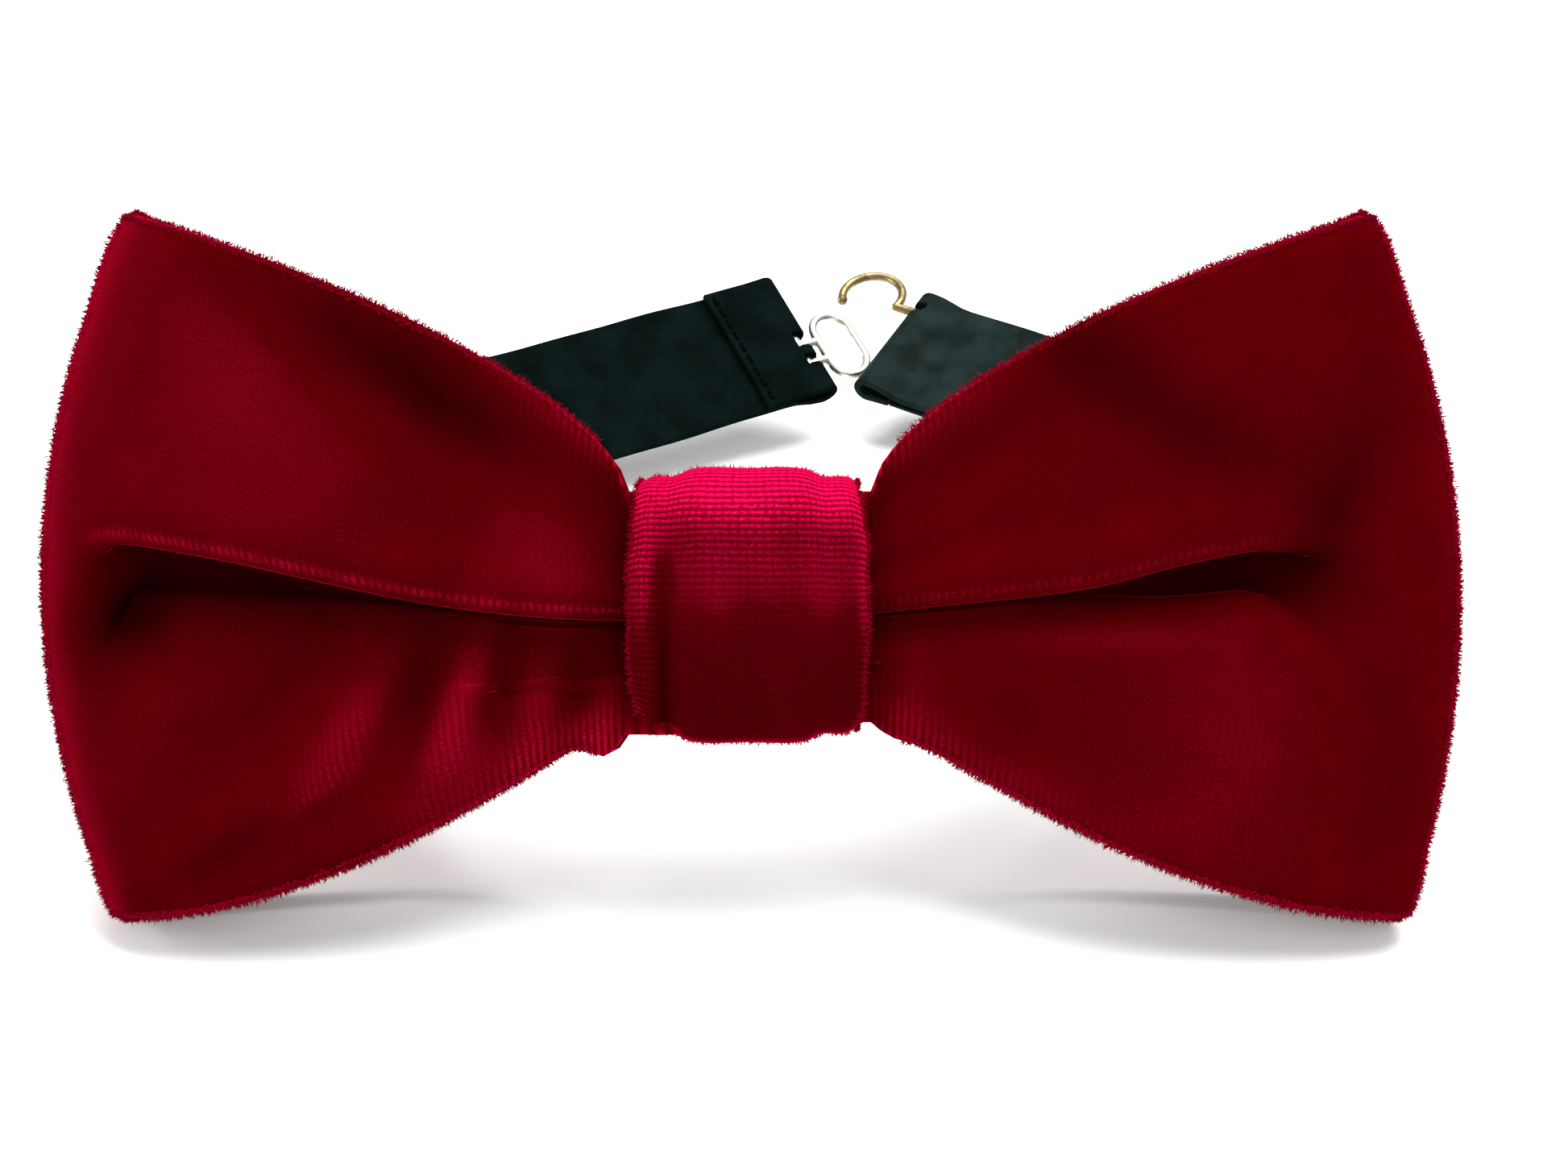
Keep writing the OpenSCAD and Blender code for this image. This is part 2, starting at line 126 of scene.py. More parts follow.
class Studio:
    """Modelling steps that the pieces share."""

    @staticmethod
    def deselect() -> None:
        """Leaves nothing selected."""
        bpy.ops.object.select_all(action="DESELECT")

    @staticmethod
    def choose(piece: bpy.types.Object) -> None:
        """Selects one piece and makes it active."""
        Studio.deselect()
        piece.select_set(True)
        bpy.context.view_layer.objects.active = piece

    @staticmethod
    def named(name: str) -> bpy.types.Object:
        """Names the piece that was just added and gives it back."""
        piece = bpy.context.active_object
        piece.name = name
        piece.data.name = name
        return piece

    @staticmethod
    def cloth(
        name: str,
        columns: int,
        rows: int,
        place: Callable[[Array, Array], Array],
        flat: tuple[float, float],
        looks: Callable[[Array, Array], dict[str, Array]] | None = None,
    ) -> bpy.types.Object:
        """Adds a flat grid and moves its points to where the cloth lies.

        Args:
            name: The piece's name.
            columns: Faces along the cloth.
            rows: Faces across it.
            place: Gives the points' places from their shares along and across.
            flat: The cloth's length and width, which become its UV map's size.
            looks: Gives numbers that the material reads, by name, from the same shares.

        Returns:
            The cloth, one face thick.
        """
        Studio.deselect()
        bpy.ops.mesh.primitive_grid_add(
            x_subdivisions=columns, y_subdivisions=rows, size=1, calc_uvs=True
        )
        piece = Studio.named(name)
        mesh = piece.data
        points = np.zeros(len(mesh.vertices) * 3)
        mesh.vertices.foreach_get("co", points)
        shares = np.clip(points.reshape(-1, 3)[:, :2] + 0.5, 0, 1)
        mesh.vertices.foreach_set(
            "co", (place(shares[:, 0], shares[:, 1]) * MM).reshape(-1)
        )
        for key, values in (looks(shares[:, 0], shares[:, 1]) if looks else {}).items():
            Studio.mark(mesh, key, values)
        corners = np.zeros(len(mesh.loops), int)
        mesh.loops.foreach_get("vertex_index", corners)
        mesh.uv_layers.active.data.foreach_set(
            "uv", (shares[corners] * np.array(flat)).reshape(-1)
        )
        mesh.update()
        return piece

    @staticmethod
    def mark(mesh: bpy.types.Mesh, name: str, values: Array) -> None:
        """Keeps one number for each point of a mesh, for its material to read."""
        mesh.attributes.new(name, "FLOAT", "POINT").data.foreach_set("value", values.astype(np.float32))

    @staticmethod
    def cut(piece: bpy.types.Object, inside: Callable[[Array], Array]) -> None:
        """Deletes the faces of a cloth whose middles a test picks.

        Args:
            piece: The cloth.
            inside: Tells from the faces' shares along and across which ones go.
        """
        Studio.choose(piece)
        mesh = piece.data
        uv = np.zeros(len(mesh.loops) * 2)
        mesh.uv_layers.active.data.foreach_get("uv", uv)
        centre = uv.reshape(-1, 4, 2).mean(1)
        bpy.ops.object.mode_set(mode="EDIT")
        bpy.ops.mesh.select_all(action="DESELECT")
        bpy.ops.object.mode_set(mode="OBJECT")
        mesh.polygons.foreach_set("select", inside(centre))
        bpy.ops.object.mode_set(mode="EDIT")
        bpy.ops.mesh.select_mode(type="FACE")
        bpy.ops.mesh.delete(type="FACE")
        bpy.ops.object.mode_set(mode="OBJECT")

    @staticmethod
    def modify(piece: bpy.types.Object, kind: str, **settings: object) -> None:
        """Adds a modifier to a piece and applies it at once.

        Args:
            piece: The piece.
            kind: The modifier's type.
            **settings: Its settings.
        """
        Studio.choose(piece)
        modifier = piece.modifiers.new(kind.lower(), kind)
        for name, value in settings.items():
            setattr(modifier, name, value)
        bpy.ops.object.modifier_apply(modifier=modifier.name)

    @staticmethod
    def thicken(piece: bpy.types.Object, thickness: float, inward: bool = True) -> None:
        """Gives a cloth its thickness, on its inner side or on both sides.

        Args:
            piece: The cloth.
            thickness: How thick it becomes.
            inward: False spreads the thickness to both sides.
        """
        Studio.modify(
            piece,
            "SOLIDIFY",
            thickness=thickness * MM,
            offset=-1 if inward else 0,
            use_even_offset=False,
            use_rim=True,
        )
        bpy.ops.object.shade_smooth_by_angle(angle=math.radians(50))


# ---- Finishes


class Graph:
    """A node tree that is wired in code."""

    def __init__(self, tree: bpy.types.NodeTree) -> None:
        """Keeps the tree that the nodes go into."""
        self.tree = tree

    def node(self, kind: str, **values: object) -> bpy.types.Node:
        """Adds a node and sets its options and unlinked sockets.

        Args:
            kind: The node's type.
            **values: Options by name, or sockets by name with _ for a space.

        Returns:
            The new node.
        """
        made = self.tree.nodes.new(kind)
        for name, value in values.items():
            if name in made.bl_rna.properties:
                setattr(made, name, value)
            else:
                self.feed(made.inputs[name.replace("_", " ")], value)
        return made

    def feed(self, socket: bpy.types.NodeSocket, value: object) -> None:
        """Links a socket to another one, or sets its own value."""
        if isinstance(value, bpy.types.NodeSocket):
            self.tree.links.new(value, socket)
        else:
            socket.default_value = value

    def math(self, operation: str, a: object, b: object = 0.0) -> bpy.types.NodeSocket:
        """Adds a math node and gives its result."""
        made = self.node("ShaderNodeMath", operation=operation)
        self.feed(made.inputs[0], a)
        self.feed(made.inputs[1], b)
        return made.outputs[0]

    def blend(self, share: object, a: object, b: object) -> bpy.types.NodeSocket:
        """Mixes two colours by a share and gives the result."""
        made = self.node("ShaderNodeMix", data_type="RGBA")
        self.feed(made.inputs["Factor"], share)
        self.feed(made.inputs["A"], a)
        self.feed(made.inputs["B"], b)
        return made.outputs["Result"]

    def bump(self, strength: float, relief: float, height: object) -> bpy.types.Node:
        """Adds a bump node whose relief is in millimetres."""
        return self.node("ShaderNodeBump", Strength=strength, Distance=relief * MM, Height=height)

    def wave(self, value: object) -> bpy.types.NodeSocket:
        """Goes from 0 to 1 and back once for each whole step of a value."""
        turn = self.math("MULTIPLY", value, 2 * math.pi)
        return self.math("ADD", self.math("MULTIPLY", self.math("SINE", turn), 0.5), 0.5)

    def ramp(self, value: object, low: float, high: float) -> bpy.types.NodeSocket:
        """Stretches a range of a value to 0 to 1, with a soft start and end."""
        made = self.node("ShaderNodeMapRange", interpolation_type="SMOOTHSTEP")
        self.feed(made.inputs["Value"], value)
        made.inputs["From Min"].default_value = low
        made.inputs["From Max"].default_value = high
        return made.outputs["Result"]


def group(
    name: str, inputs: dict[str, float], outputs: Sequence[str]
) -> tuple[Graph, bpy.types.Node, bpy.types.Node]:
    """Starts a shader node group with named number sockets.

    Args:
        name: The group's name.
        inputs: Its inputs with their usual values.
        outputs: The names of its outputs.

    Returns:
        The group's graph, its input node and its output node.
    """
    tree = bpy.data.node_groups.new(name, "ShaderNodeTree")
    for key, value in inputs.items():
        made = tree.interface.new_socket(key, in_out="INPUT", socket_type="NodeSocketFloat")
        made.default_value = value
    for key in outputs:
        tree.interface.new_socket(key, in_out="OUTPUT", socket_type="NodeSocketFloat")
    graph = Graph(tree)
    return graph, graph.node("NodeGroupInput"), graph.node("NodeGroupOutput")


def ribbed_nap() -> bpy.types.NodeTree:
    """Builds the group for velvet's ribs, from a UV map in millimetres.

    Returns:
        A group with Rib, Patch Size and Show in, and Height, Ridge, Patch and Fibre out.
    """
    sockets = {"Rib": 0.6, "Patch Size": 9.0, "Show": 1.0}
    g, given, out = group("ribbed_nap", sockets, ("Height", "Ridge", "Patch", "Fibre"))
    uv = g.node("ShaderNodeTexCoord").outputs["UV"]
    wander = g.node("ShaderNodeTexNoise", Vector=uv, Scale=0.3, Detail=1.0)
    split = g.node("ShaderNodeSeparateXYZ", Vector=uv)
    along = g.math("ADD", split.outputs["X"], g.math("MULTIPLY", wander.outputs["Fac"], 0.3))
    ridge = g.wave(g.math("DIVIDE", along, given.outputs["Rib"]))
    flat = g.node("ShaderNodeCombineXYZ")
    g.feed(flat.inputs["X"], g.math("DIVIDE", along, given.outputs["Rib"]))
    g.feed(flat.inputs["Y"], g.math("DIVIDE", split.outputs["Y"], given.outputs["Rib"]))
    tufts = g.node("ShaderNodeTexNoise", Vector=flat.outputs["Vector"], Scale=1.7, Detail=3.0, Roughness=0.6)
    fibre = g.node("ShaderNodeTexNoise", Vector=uv, Scale=4.5, Detail=4.0, Roughness=0.75)
    size = g.math("DIVIDE", 1.0, given.outputs["Patch Size"])
    cloud = g.node("ShaderNodeTexNoise", Vector=uv, Detail=3.0, Roughness=0.55)
    g.feed(cloud.inputs["Scale"], size)
    beads = g.ramp(tufts.outputs["Fac"], 0.38, 0.64)
    knots = g.math("DIVIDE", split.outputs["Y"], given.outputs["Rib"])
    strayed = g.math("ADD", knots, g.math("MULTIPLY", tufts.outputs["Fac"], 1.4))
    dots = g.wave(strayed)
    broken = g.math("ADD", g.math("MULTIPLY", g.math("ADD", beads, dots), 0.4), 0.2)
    ribs = g.math("MULTIPLY", ridge, broken)
    plain = g.math("MULTIPLY", g.math("SUBTRACT", 1.0, given.outputs["Show"]), 0.3)
    shown = g.math("ADD", g.math("MULTIPLY", ribs, given.outputs["Show"]), plain)
    height = g.math("ADD", shown, g.math("MULTIPLY", fibre.outputs["Fac"], 0.35))
    g.feed(out.inputs["Height"], height)
    g.feed(out.inputs["Ridge"], shown)
    g.feed(out.inputs["Fibre"], fibre.outputs["Fac"])
    g.feed(out.inputs["Patch"], g.ramp(cloud.outputs["Fac"], 0.32, 0.7))
    return g.tree


def woven_threads() -> bpy.types.NodeTree:
    """Builds the group for a fine weave or twill, from a UV map in millimetres.

    Returns:
        A group with Pitch and Slant in, and Height, Thread and Patch out.
    """
    g, given, out = group("woven_threads", {"Pitch": 0.35, "Slant": 1.0}, ("Height", "Thread", "Patch"))
    uv = g.node("ShaderNodeTexCoord").outputs["UV"]
    split = g.node("ShaderNodeSeparateXYZ", Vector=uv)
    turn = g.math("DIVIDE", 2 * math.pi, given.outputs["Pitch"])
    aside = g.math("MULTIPLY", split.outputs["Y"], given.outputs["Slant"])
    slanted = g.math("ADD", split.outputs["X"], aside)
    twill = g.math("SINE", g.math("MULTIPLY", slanted, turn))
    across = g.math("SINE", g.math("MULTIPLY", split.outputs["Y"], g.math("MULTIPLY", turn, 1.3)))
    weave = g.math("ADD", g.math("MULTIPLY", twill, 0.3), g.math("MULTIPLY", across, 0.2))
    slub = g.node("ShaderNodeTexNoise", Vector=uv, Scale=4.0, Detail=3.0)
    cloud = g.node("ShaderNodeTexNoise", Vector=uv, Scale=0.18, Detail=3.0)
    height = g.math("ADD", g.math("ADD", weave, 0.5), g.math("MULTIPLY", slub.outputs["Fac"], 0.4))
    g.feed(out.inputs["Height"], height)
    g.feed(out.inputs["Thread"], g.math("ADD", weave, 0.5))
    g.feed(out.inputs["Patch"], g.ramp(cloud.outputs["Fac"], 0.3, 0.7))
    return g.tree


def handled_metal() -> bpy.types.NodeTree:
    """Builds the group for scratches and tarnish, from Object coordinates.

    Returns:
        A group with Grain in, and Height, Tarnish and Scratch out.
    """
    g, given, out = group("handled_metal", {"Grain": 400.0}, ("Height", "Tarnish", "Scratch"))
    at = g.node("ShaderNodeTexCoord").outputs["Object"]
    stains = g.node("ShaderNodeTexNoise", Vector=at, Detail=5.0, Roughness=0.65)
    g.feed(stains.inputs["Scale"], given.outputs["Grain"])
    marks = g.node("ShaderNodeTexNoise", Vector=at, Scale=3200.0, Detail=2.0)
    scratched = g.math("MULTIPLY", marks.outputs["Fac"], 0.4)
    g.feed(out.inputs["Height"], g.math("ADD", stains.outputs["Fac"], scratched))
    g.feed(out.inputs["Tarnish"], g.ramp(stains.outputs["Fac"], 0.4, 0.68))
    g.feed(out.inputs["Scratch"], g.ramp(marks.outputs["Fac"], 0.5, 0.7))
    return g.tree


GROUPS: dict[str, bpy.types.NodeTree] = {}


def shared(builder: Callable[[], bpy.types.NodeTree]) -> bpy.types.NodeTree:
    """Gives a node group, building it the first time it is asked for."""
    key = builder.__name__
    if key not in GROUPS:
        GROUPS[key] = builder()
    return GROUPS[key]


def start_material(name: str) -> tuple[bpy.types.Material, Graph, bpy.types.Node]:
    """Makes a material with a plain Principled shader.

    Args:
        name: The material's name.

    Returns:
        The material, its graph and its shader.
    """
    material = bpy.data.materials.new(name)
    material.use_nodes = True
    graph = Graph(material.node_tree)
    shader = material.node_tree.nodes["Principled BSDF"]
    return material, graph, shader


@dataclass(frozen=True)
class Velvet:
    """A ribbed cut velvet: deep face on, bright where its pile is seen from the side, with painted highlight
    and painted shade from its shine numbers.
    """

    name: str
    deep: Colour
    bright: Colour
    lit: Colour
    rib: float = 0.6
    relief: float = 0.16
    sheen: float = 1.0
    sheen_tint: Colour = (1.0, 0.002, 0.06, 1)
    # Colour that the facing sheen and the painted highlight mix in
    pile: Colour = (0.78, 0.003, 0.06, 1)
    # Colour of the painted shade, mixed in where the shine numbers fall below 0
    depth: Colour = (0.004, 0.0, 0.0002, 1)
    sheen_from: float = 0.3
    sheen_to: float = 1.0

    def build(self) -> bpy.types.Material:
        """Returns the material."""
        material, g, shader = start_material(self.name)
        nap = g.node("ShaderNodeGroup", node_tree=shared(ribbed_nap), Rib=self.rib)
        g.feed(nap.inputs["Show"], g.node("ShaderNodeAttribute", attribute_name="nap").outputs["Fac"])
        # Shine numbers: a painted highlight above 0 and painted shade below 0
        shine = g.node("ShaderNodeAttribute", attribute_name="shine").outputs["Fac"]
        bump = g.bump(0.85, self.relief, nap.outputs["Height"])
        face = g.blend(nap.outputs["Ridge"], self.deep, self.bright)
        rubbed = g.math("MULTIPLY", nap.outputs["Patch"], g.math("MULTIPLY", nap.outputs["Ridge"], 0.6))
        grain = g.ramp(nap.outputs["Fibre"], 0.35, 0.7)
        speckled = g.blend(g.math("MULTIPLY", grain, 0.38), face, self.lit)
        cloth = g.blend(rubbed, speckled, self.lit)
        slanted = g.node("ShaderNodeLayerWeight", Blend=0.5, Normal=bump.outputs["Normal"])
        sheen = g.ramp(slanted.outputs["Facing"], self.sheen_from, self.sheen_to)
        tips = g.math("ADD", g.math("MULTIPLY", nap.outputs["Ridge"], 1.1), 0.12)
        patchy = g.math("ADD", g.math("MULTIPLY", grain, 0.9), 0.6)
        # Painted highlight: positive shine lightens the rib tips towards the pile colour
        lit_up = g.math("MULTIPLY", g.math("MULTIPLY", g.math("MAXIMUM", shine, 0.0), tips), patchy)
        sheen_and_painted_highlight = g.math("ADD", g.math("MULTIPLY", sheen, tips), lit_up)
        sheen_lit_cloth = g.blend(g.math("MINIMUM", sheen_and_painted_highlight, 1.0), cloth, self.pile)
        # Painted shade: negative shine darkens the colour towards the depth colour
        painted_shade_share = g.math("MINIMUM", g.math("MAXIMUM", g.math("MULTIPLY", shine, -1.0), 0.0), 1.0)
        g.feed(shader.inputs["Base Color"], g.blend(painted_shade_share, sheen_lit_cloth, self.depth))
        shader.inputs["Roughness"].default_value = 0.8
        shader.inputs["Specular IOR Level"].default_value = 0.0
        shader.inputs["Sheen Weight"].default_value = self.sheen
        shader.inputs["Sheen Roughness"].default_value = 0.22
        shader.inputs["Sheen Tint"].default_value = self.sheen_tint
        g.feed(shader.inputs["Normal"], bump.outputs["Normal"])
        return material


@dataclass(frozen=True)
class Weave:
    """A woven cloth or ribbon, from matt interlining to black satin-backed twill."""

    name: str
    thread: Colour
    gap: Colour
    worn_and_sheen: Colour
    pitch: float
    slant: float
    roughness: float
    sheen: float
    relief: float = 0.06
    gloss: float = 0.3

    def build(self) -> bpy.types.Material:
        """Returns the material."""
        material, g, shader = start_material(self.name)
        weave = g.node(
            "ShaderNodeGroup", node_tree=shared(woven_threads), Pitch=self.pitch, Slant=self.slant
        )
        cloth = g.blend(weave.outputs["Thread"], self.gap, self.thread)
        # Lighter patches: wear on most cloths, a painted satin reflection on the lit strap copy
        wear = g.math("MULTIPLY", weave.outputs["Patch"], 0.6)
        g.feed(shader.inputs["Base Color"], g.blend(wear, cloth, self.worn_and_sheen))
        shine = g.math("MULTIPLY", weave.outputs["Patch"], -0.12)
        g.feed(shader.inputs["Roughness"], g.math("ADD", shine, self.roughness))
        shader.inputs["Specular IOR Level"].default_value = self.gloss
        shader.inputs["Sheen Weight"].default_value = self.sheen
        shader.inputs["Sheen Roughness"].default_value = 0.4
        shader.inputs["Sheen Tint"].default_value = (0.6, 0.95, 0.88, 1)
        bump = g.bump(0.7, self.relief, weave.outputs["Height"])
        g.feed(shader.inputs["Normal"], bump.outputs["Normal"])
        return material


@dataclass(frozen=True)
class Thread:
    """Sewing thread, with a fine twist that follows the piece's own place."""

    name: str
    colour: Colour
    shade: Colour
    gloss: float = 0.3
    twists: float = 900.0

    def build(self) -> bpy.types.Material:
        """Returns the material."""
        material, g, shader = start_material(self.name)
        at = g.node("ShaderNodeTexCoord").outputs["Object"]
        twist = g.node("ShaderNodeTexWave", Vector=at, Scale=self.twists, Distortion=2.0)
        twist.bands_direction = "DIAGONAL"
        g.feed(shader.inputs["Base Color"], g.blend(twist.outputs["Fac"], self.shade, self.colour))
        shader.inputs["Roughness"].default_value = 0.6
        shader.inputs["Specular IOR Level"].default_value = self.gloss
        bump = g.bump(0.5, 0.05, twist.outputs["Fac"])
        g.feed(shader.inputs["Normal"], bump.outputs["Normal"])
        return material


@dataclass(frozen=True)
class Metal:
    """A small wire or stamped fitting, handled and a little tarnished."""

    name: str
    bare: Colour
    tarnish: Colour
    roughness: float
    grain: float = 420.0

    def build(self) -> bpy.types.Material:
        """Returns the material."""
        material, g, shader = start_material(self.name)
        wear = g.node("ShaderNodeGroup", node_tree=shared(handled_metal), Grain=self.grain)
        g.feed(shader.inputs["Base Color"], g.blend(wear.outputs["Tarnish"], self.bare, self.tarnish))
        shader.inputs["Metallic"].default_value = 1.0
        dull = g.math("MULTIPLY", wear.outputs["Tarnish"], 0.22)
        g.feed(shader.inputs["Roughness"], g.math("ADD", dull, self.roughness))
        bump = g.bump(0.3, 0.04, wear.outputs["Height"])
        g.feed(shader.inputs["Normal"], bump.outputs["Normal"])
        return material


VELVET = Velvet(
    "crimson_velvet",
    (0.037, 0.0, 0.0004, 1),
    (0.056, 0.0, 0.001, 1),
    (0.15, 0.0003, 0.003, 1),
    relief=0.07,
    pile=(0.6, 0.003, 0.035, 1),
    sheen_from=0.6,
    sheen=0.7,
)
KNOT_VELVET = Velvet(
    "knot_velvet",
    (0.032, 0.0, 0.0006, 1),
    (0.085, 0.0002, 0.002, 1),
    (0.13, 0.0004, 0.004, 1),
    relief=0.1,
    rib=0.56,
    pile=(1.0, 0.003, 0.085, 1),
    sheen_from=0.75,
)
PILE = Velvet(
    "velvet_pile",
    deep=(0.28, 0.0006, 0.01, 1),
    bright=(0.5, 0.0015, 0.025, 1),
    lit=(0.6, 0.002, 0.03, 1),
    sheen=0.4,
)
LINING = Weave(
    "satin_lining",
    thread=(0.16, 0.002, 0.008, 1),
    gap=(0.07, 0.001, 0.004, 1),
    worn_and_sheen=(0.2, 0.004, 0.012, 1),
    pitch=0.3,
    slant=0.5,
    roughness=0.42,
    sheen=0.0,
    relief=0.03,
)
INTERLINING = Weave(
    "white_interlining",
    thread=(0.72, 0.71, 0.67, 1),
    gap=(0.55, 0.54, 0.5, 1),
    worn_and_sheen=(0.66, 0.65, 0.6, 1),
    pitch=0.6,
    slant=0.0,
    roughness=0.85,
    sheen=0.1,
)
STRAP = Weave(
    "black_strap",
    thread=(0.0022, 0.005, 0.0047, 1),
    gap=(0.0006, 0.0016, 0.0015, 1),
    worn_and_sheen=(0.004, 0.009, 0.0084, 1),
    pitch=0.42,
    slant=1.0,
    roughness=0.55,
    sheen=0.0,
    gloss=0.0,
)
# A lighter, lit copy of the strap's finish for its right side, whose light patches are a painted satin
# reflection
LIT_STRAP = Weave(
    "black_strap_lit",
    thread=(0.003, 0.008, 0.0075, 1),
    gap=(0.001, 0.003, 0.0027, 1),
    worn_and_sheen=(0.009, 0.023, 0.021, 1),
    pitch=0.42,
    slant=1.0,
    roughness=0.5,
    sheen=0.0,
    gloss=0.02,
)
RED_THREAD = Thread("crimson_thread", (0.25, 0.003, 0.015, 1), (0.12, 0.002, 0.008, 1))
BLACK_THREAD = Thread("black_thread", (0.002, 0.005, 0.005, 1), (0.001, 0.002, 0.002, 1), gloss=0.0)
PALE_NICKEL = Metal("pale_nickel", (0.78, 0.76, 0.68, 1), (0.5, 0.46, 0.36, 1), 0.26)
AGED_BRASS = Metal("aged_brass", (0.27, 0.21, 0.1, 1), (0.1, 0.075, 0.035, 1), 0.36)
NICKEL = Metal("slider_nickel", (0.8, 0.79, 0.77, 1), (0.55, 0.53, 0.5, 1), 0.24)
CARRIED_OVER = {
    "join_stitches": RED_THREAD,
    "pinch_thread": BLACK_THREAD,
    "knot_stitches": RED_THREAD,
    "left_hem_stitches": BLACK_THREAD,
    "slider_stitches": BLACK_THREAD,
    "eye": PALE_NICKEL,
    "hook": AGED_BRASS,
    "slider": NICKEL,
}


def dress(piece: bpy.types.Object, material: bpy.types.Material) -> None:
    """Gives a piece one material all over."""
    piece.data.materials.clear()
    piece.data.materials.append(material)


# ---- The bow


@dataclass
class BowFrame:
    """The bow's own upright frame, placed in the part: x along the bow, y to the back, z up."""

    knot_back: float = 6.88
    mount_rise: float = 5.0
    back_axis: Vector = field(init=False)
    up_axis: Vector = field(init=False)
    knot: Vector = field(init=False)

    def __post_init__(self) -> None:
        """Finds the knot's centre from the flat face behind it."""
        mount = next(m for m in frame["record"]["mounts"] if m["name"] == "knot_back")
        self.back_axis = Vector(mount["axis"]).normalized()
        self.up_axis = Vector((1, 0, 0)).cross(self.back_axis)
        face = Vector(mount["pos_m"]) / MM
        self.knot = face - self.knot_back * self.back_axis - self.mount_rise * self.up_axis

    def placed(self, points: Array) -> Array:
        """Moves points from the bow's frame to the part's."""
        axes = np.array([(1, 0, 0), tuple(self.back_axis), tuple(self.up_axis)])
        return points @ axes + np.array(self.knot)


@dataclass(frozen=True)
class WingShape:
    """How one wing of the bow runs from the knot to its outer fold and back."""

    side: Side
    # Where the upper layer's folded edge runs, as heights at equal steps from the knot outwards
    pleat_line: tuple[float, ...]
    # Where the lower layer turns in behind it
    shoulder_line: tuple[float, ...]
    # How deep the fold between them goes, at the same steps
    pocket_depths: tuple[float, ...]
    # How much of the pleat is left at each step, from 1 to 0
    pleat_shares: tuple[float, ...]
    # Ridges and valleys: x, z, tilt, curve, width, length, height
    wrinkles: tuple[tuple[float, ...], ...]
    start: float = 10.3
    tip_x: float = 53.45
    fold_bow: float = 6.8
    tip_rise: float = 33.5
    corner_drop: float = 26.4
    waist: float = 9.5
    upper_power: float = 0.6
    waist_depth: float = 3.2
    open_depth: float = 6.0
    open_share: float = 0.45
    nose_power: float = 0.6
    corner_out: float = 0.0
    knot_bulge: float = 0.0
    overlap: float = 2.8
    lip: float = 0.9
    # How gently the lower layer turns in behind the upper one
    soft_shoulder: float = 0.0
    # Where the pleat ends, as a share of the way out, and over what share it fades
    pleat_end: float = 0.95
    pleat_fade: float = 0.12
    # How brightly the outer fold's pile and the pleat's edge catch the light
    rim_shine: float = 0.0
    edge_shine: float = 0.5
    # Painted highlight and painted shade patches: x, z, tilt, width, length, height
    painted_light_and_shade: tuple[tuple[float, ...], ...] = ()

    def upper(self, f: Array) -> Array:
        """Height of the upper edge."""
        return self.waist + (self.tip_rise - self.waist) * np.power(f, self.upper_power)

    def lower(self, f: Array) -> Array:
        """Height of the lower edge."""
        bulge = self.knot_bulge * hill(f, 0.03, 0.045)
        return -self.waist - (self.corner_drop - self.waist) * np.sin(f * math.pi / 2) - bulge

    def edge(self, a: Array) -> Array:
        """How far out the outer fold stands at a share of the height."""
        mid = (self.tip_rise - self.corner_drop) / 2
        half = (self.tip_rise + self.corner_drop) / 2
        high = mix(-self.corner_drop, self.tip_rise, a)
        return self.tip_x + self.fold_bow * (1 - ((high - mid) / half) ** 2) + self.corner_out * (1 - a) ** 3

    def outline(self, turn: Array, a: Array) -> tuple[Array, Array]:
        """Places along and through the bow, round the fold.

        Args:
            turn: 0 at the front of the knot, 90 degrees at the outer fold, 180 at the back, in radians.
            a: Share of the wing's height.

        Returns:
            Distances out from the knot's centre and behind it.
        """
        f = np.sin(turn)
        depth = mix(self.waist_depth, self.open_depth, smooth(f / self.open_share))
        x = mix(self.start, self.edge(a), f)
        cosine = np.cos(turn)
        return x, -np.sign(cosine) * depth * np.power(np.abs(cosine), self.nose_power)

    def inward(self, turn: Array, a: Array) -> tuple[Array, Array]:
        """The direction into the loop, square to the fold's outline."""
        step = 0.02
        x0, y0 = self.outline(np.clip(turn - step, 0, math.pi), a)
        x1, y1 = self.outline(np.clip(turn + step, 0, math.pi), a)
        dx, dy = x1 - x0, y1 - y0
        length = np.hypot(dx, dy) + 1e-9
        return -dy / length, dx / length

    def steps(self, values: Sequence[float], f: Array) -> Array:
        """Reads values given at equal steps from the knot to the fold."""
        places = np.linspace(0, 1, len(values))
        return spline(places, [np.full(f.shape, v) for v in values], np.clip(f, 0, 1))

    def fold_share(self, turn: Array) -> Array:
        """How much of the pleat there is at a place round the wing."""
        f = np.sin(turn)
        front = smooth((math.pi / 2 - turn) / 0.25 + 0.5)
        fading = smooth((self.pleat_end - f) / self.pleat_fade)
        return np.clip(self.steps(self.pleat_shares, f), 0, 1) * front * fading

    def crease(self, x: Array, z: Array) -> Array:
        """How far the wrinkles push the cloth inwards at a place on the front."""
        pushed = np.zeros_like(x)
        for cx, cz, tilt, curve, width, length, height in self.wrinkles:
            rise = z - cz
            middle = cx + tilt * rise + curve * rise**2
            pushed -= height * hill(x, middle, width) * hill(z, cz, length)
        return pushed


HEM = ((2.6, 1.5), (0.5, 1.45), (0.0, 0.75), (0.45, 0.05))
SECTION_KNOTS = np.cumsum(
    [0, 1.5, 1.4, 1.4, 5.6, 5.6, 4.2, 2.2, 2.4, 1.8, 2.8, 2.6, 1.9, 1.9, 5.2, 7.2, 6.4, 1.4, 1.4, 1.5]
)
SECTION_KNOTS = SECTION_KNOTS / SECTION_KNOTS[-1]


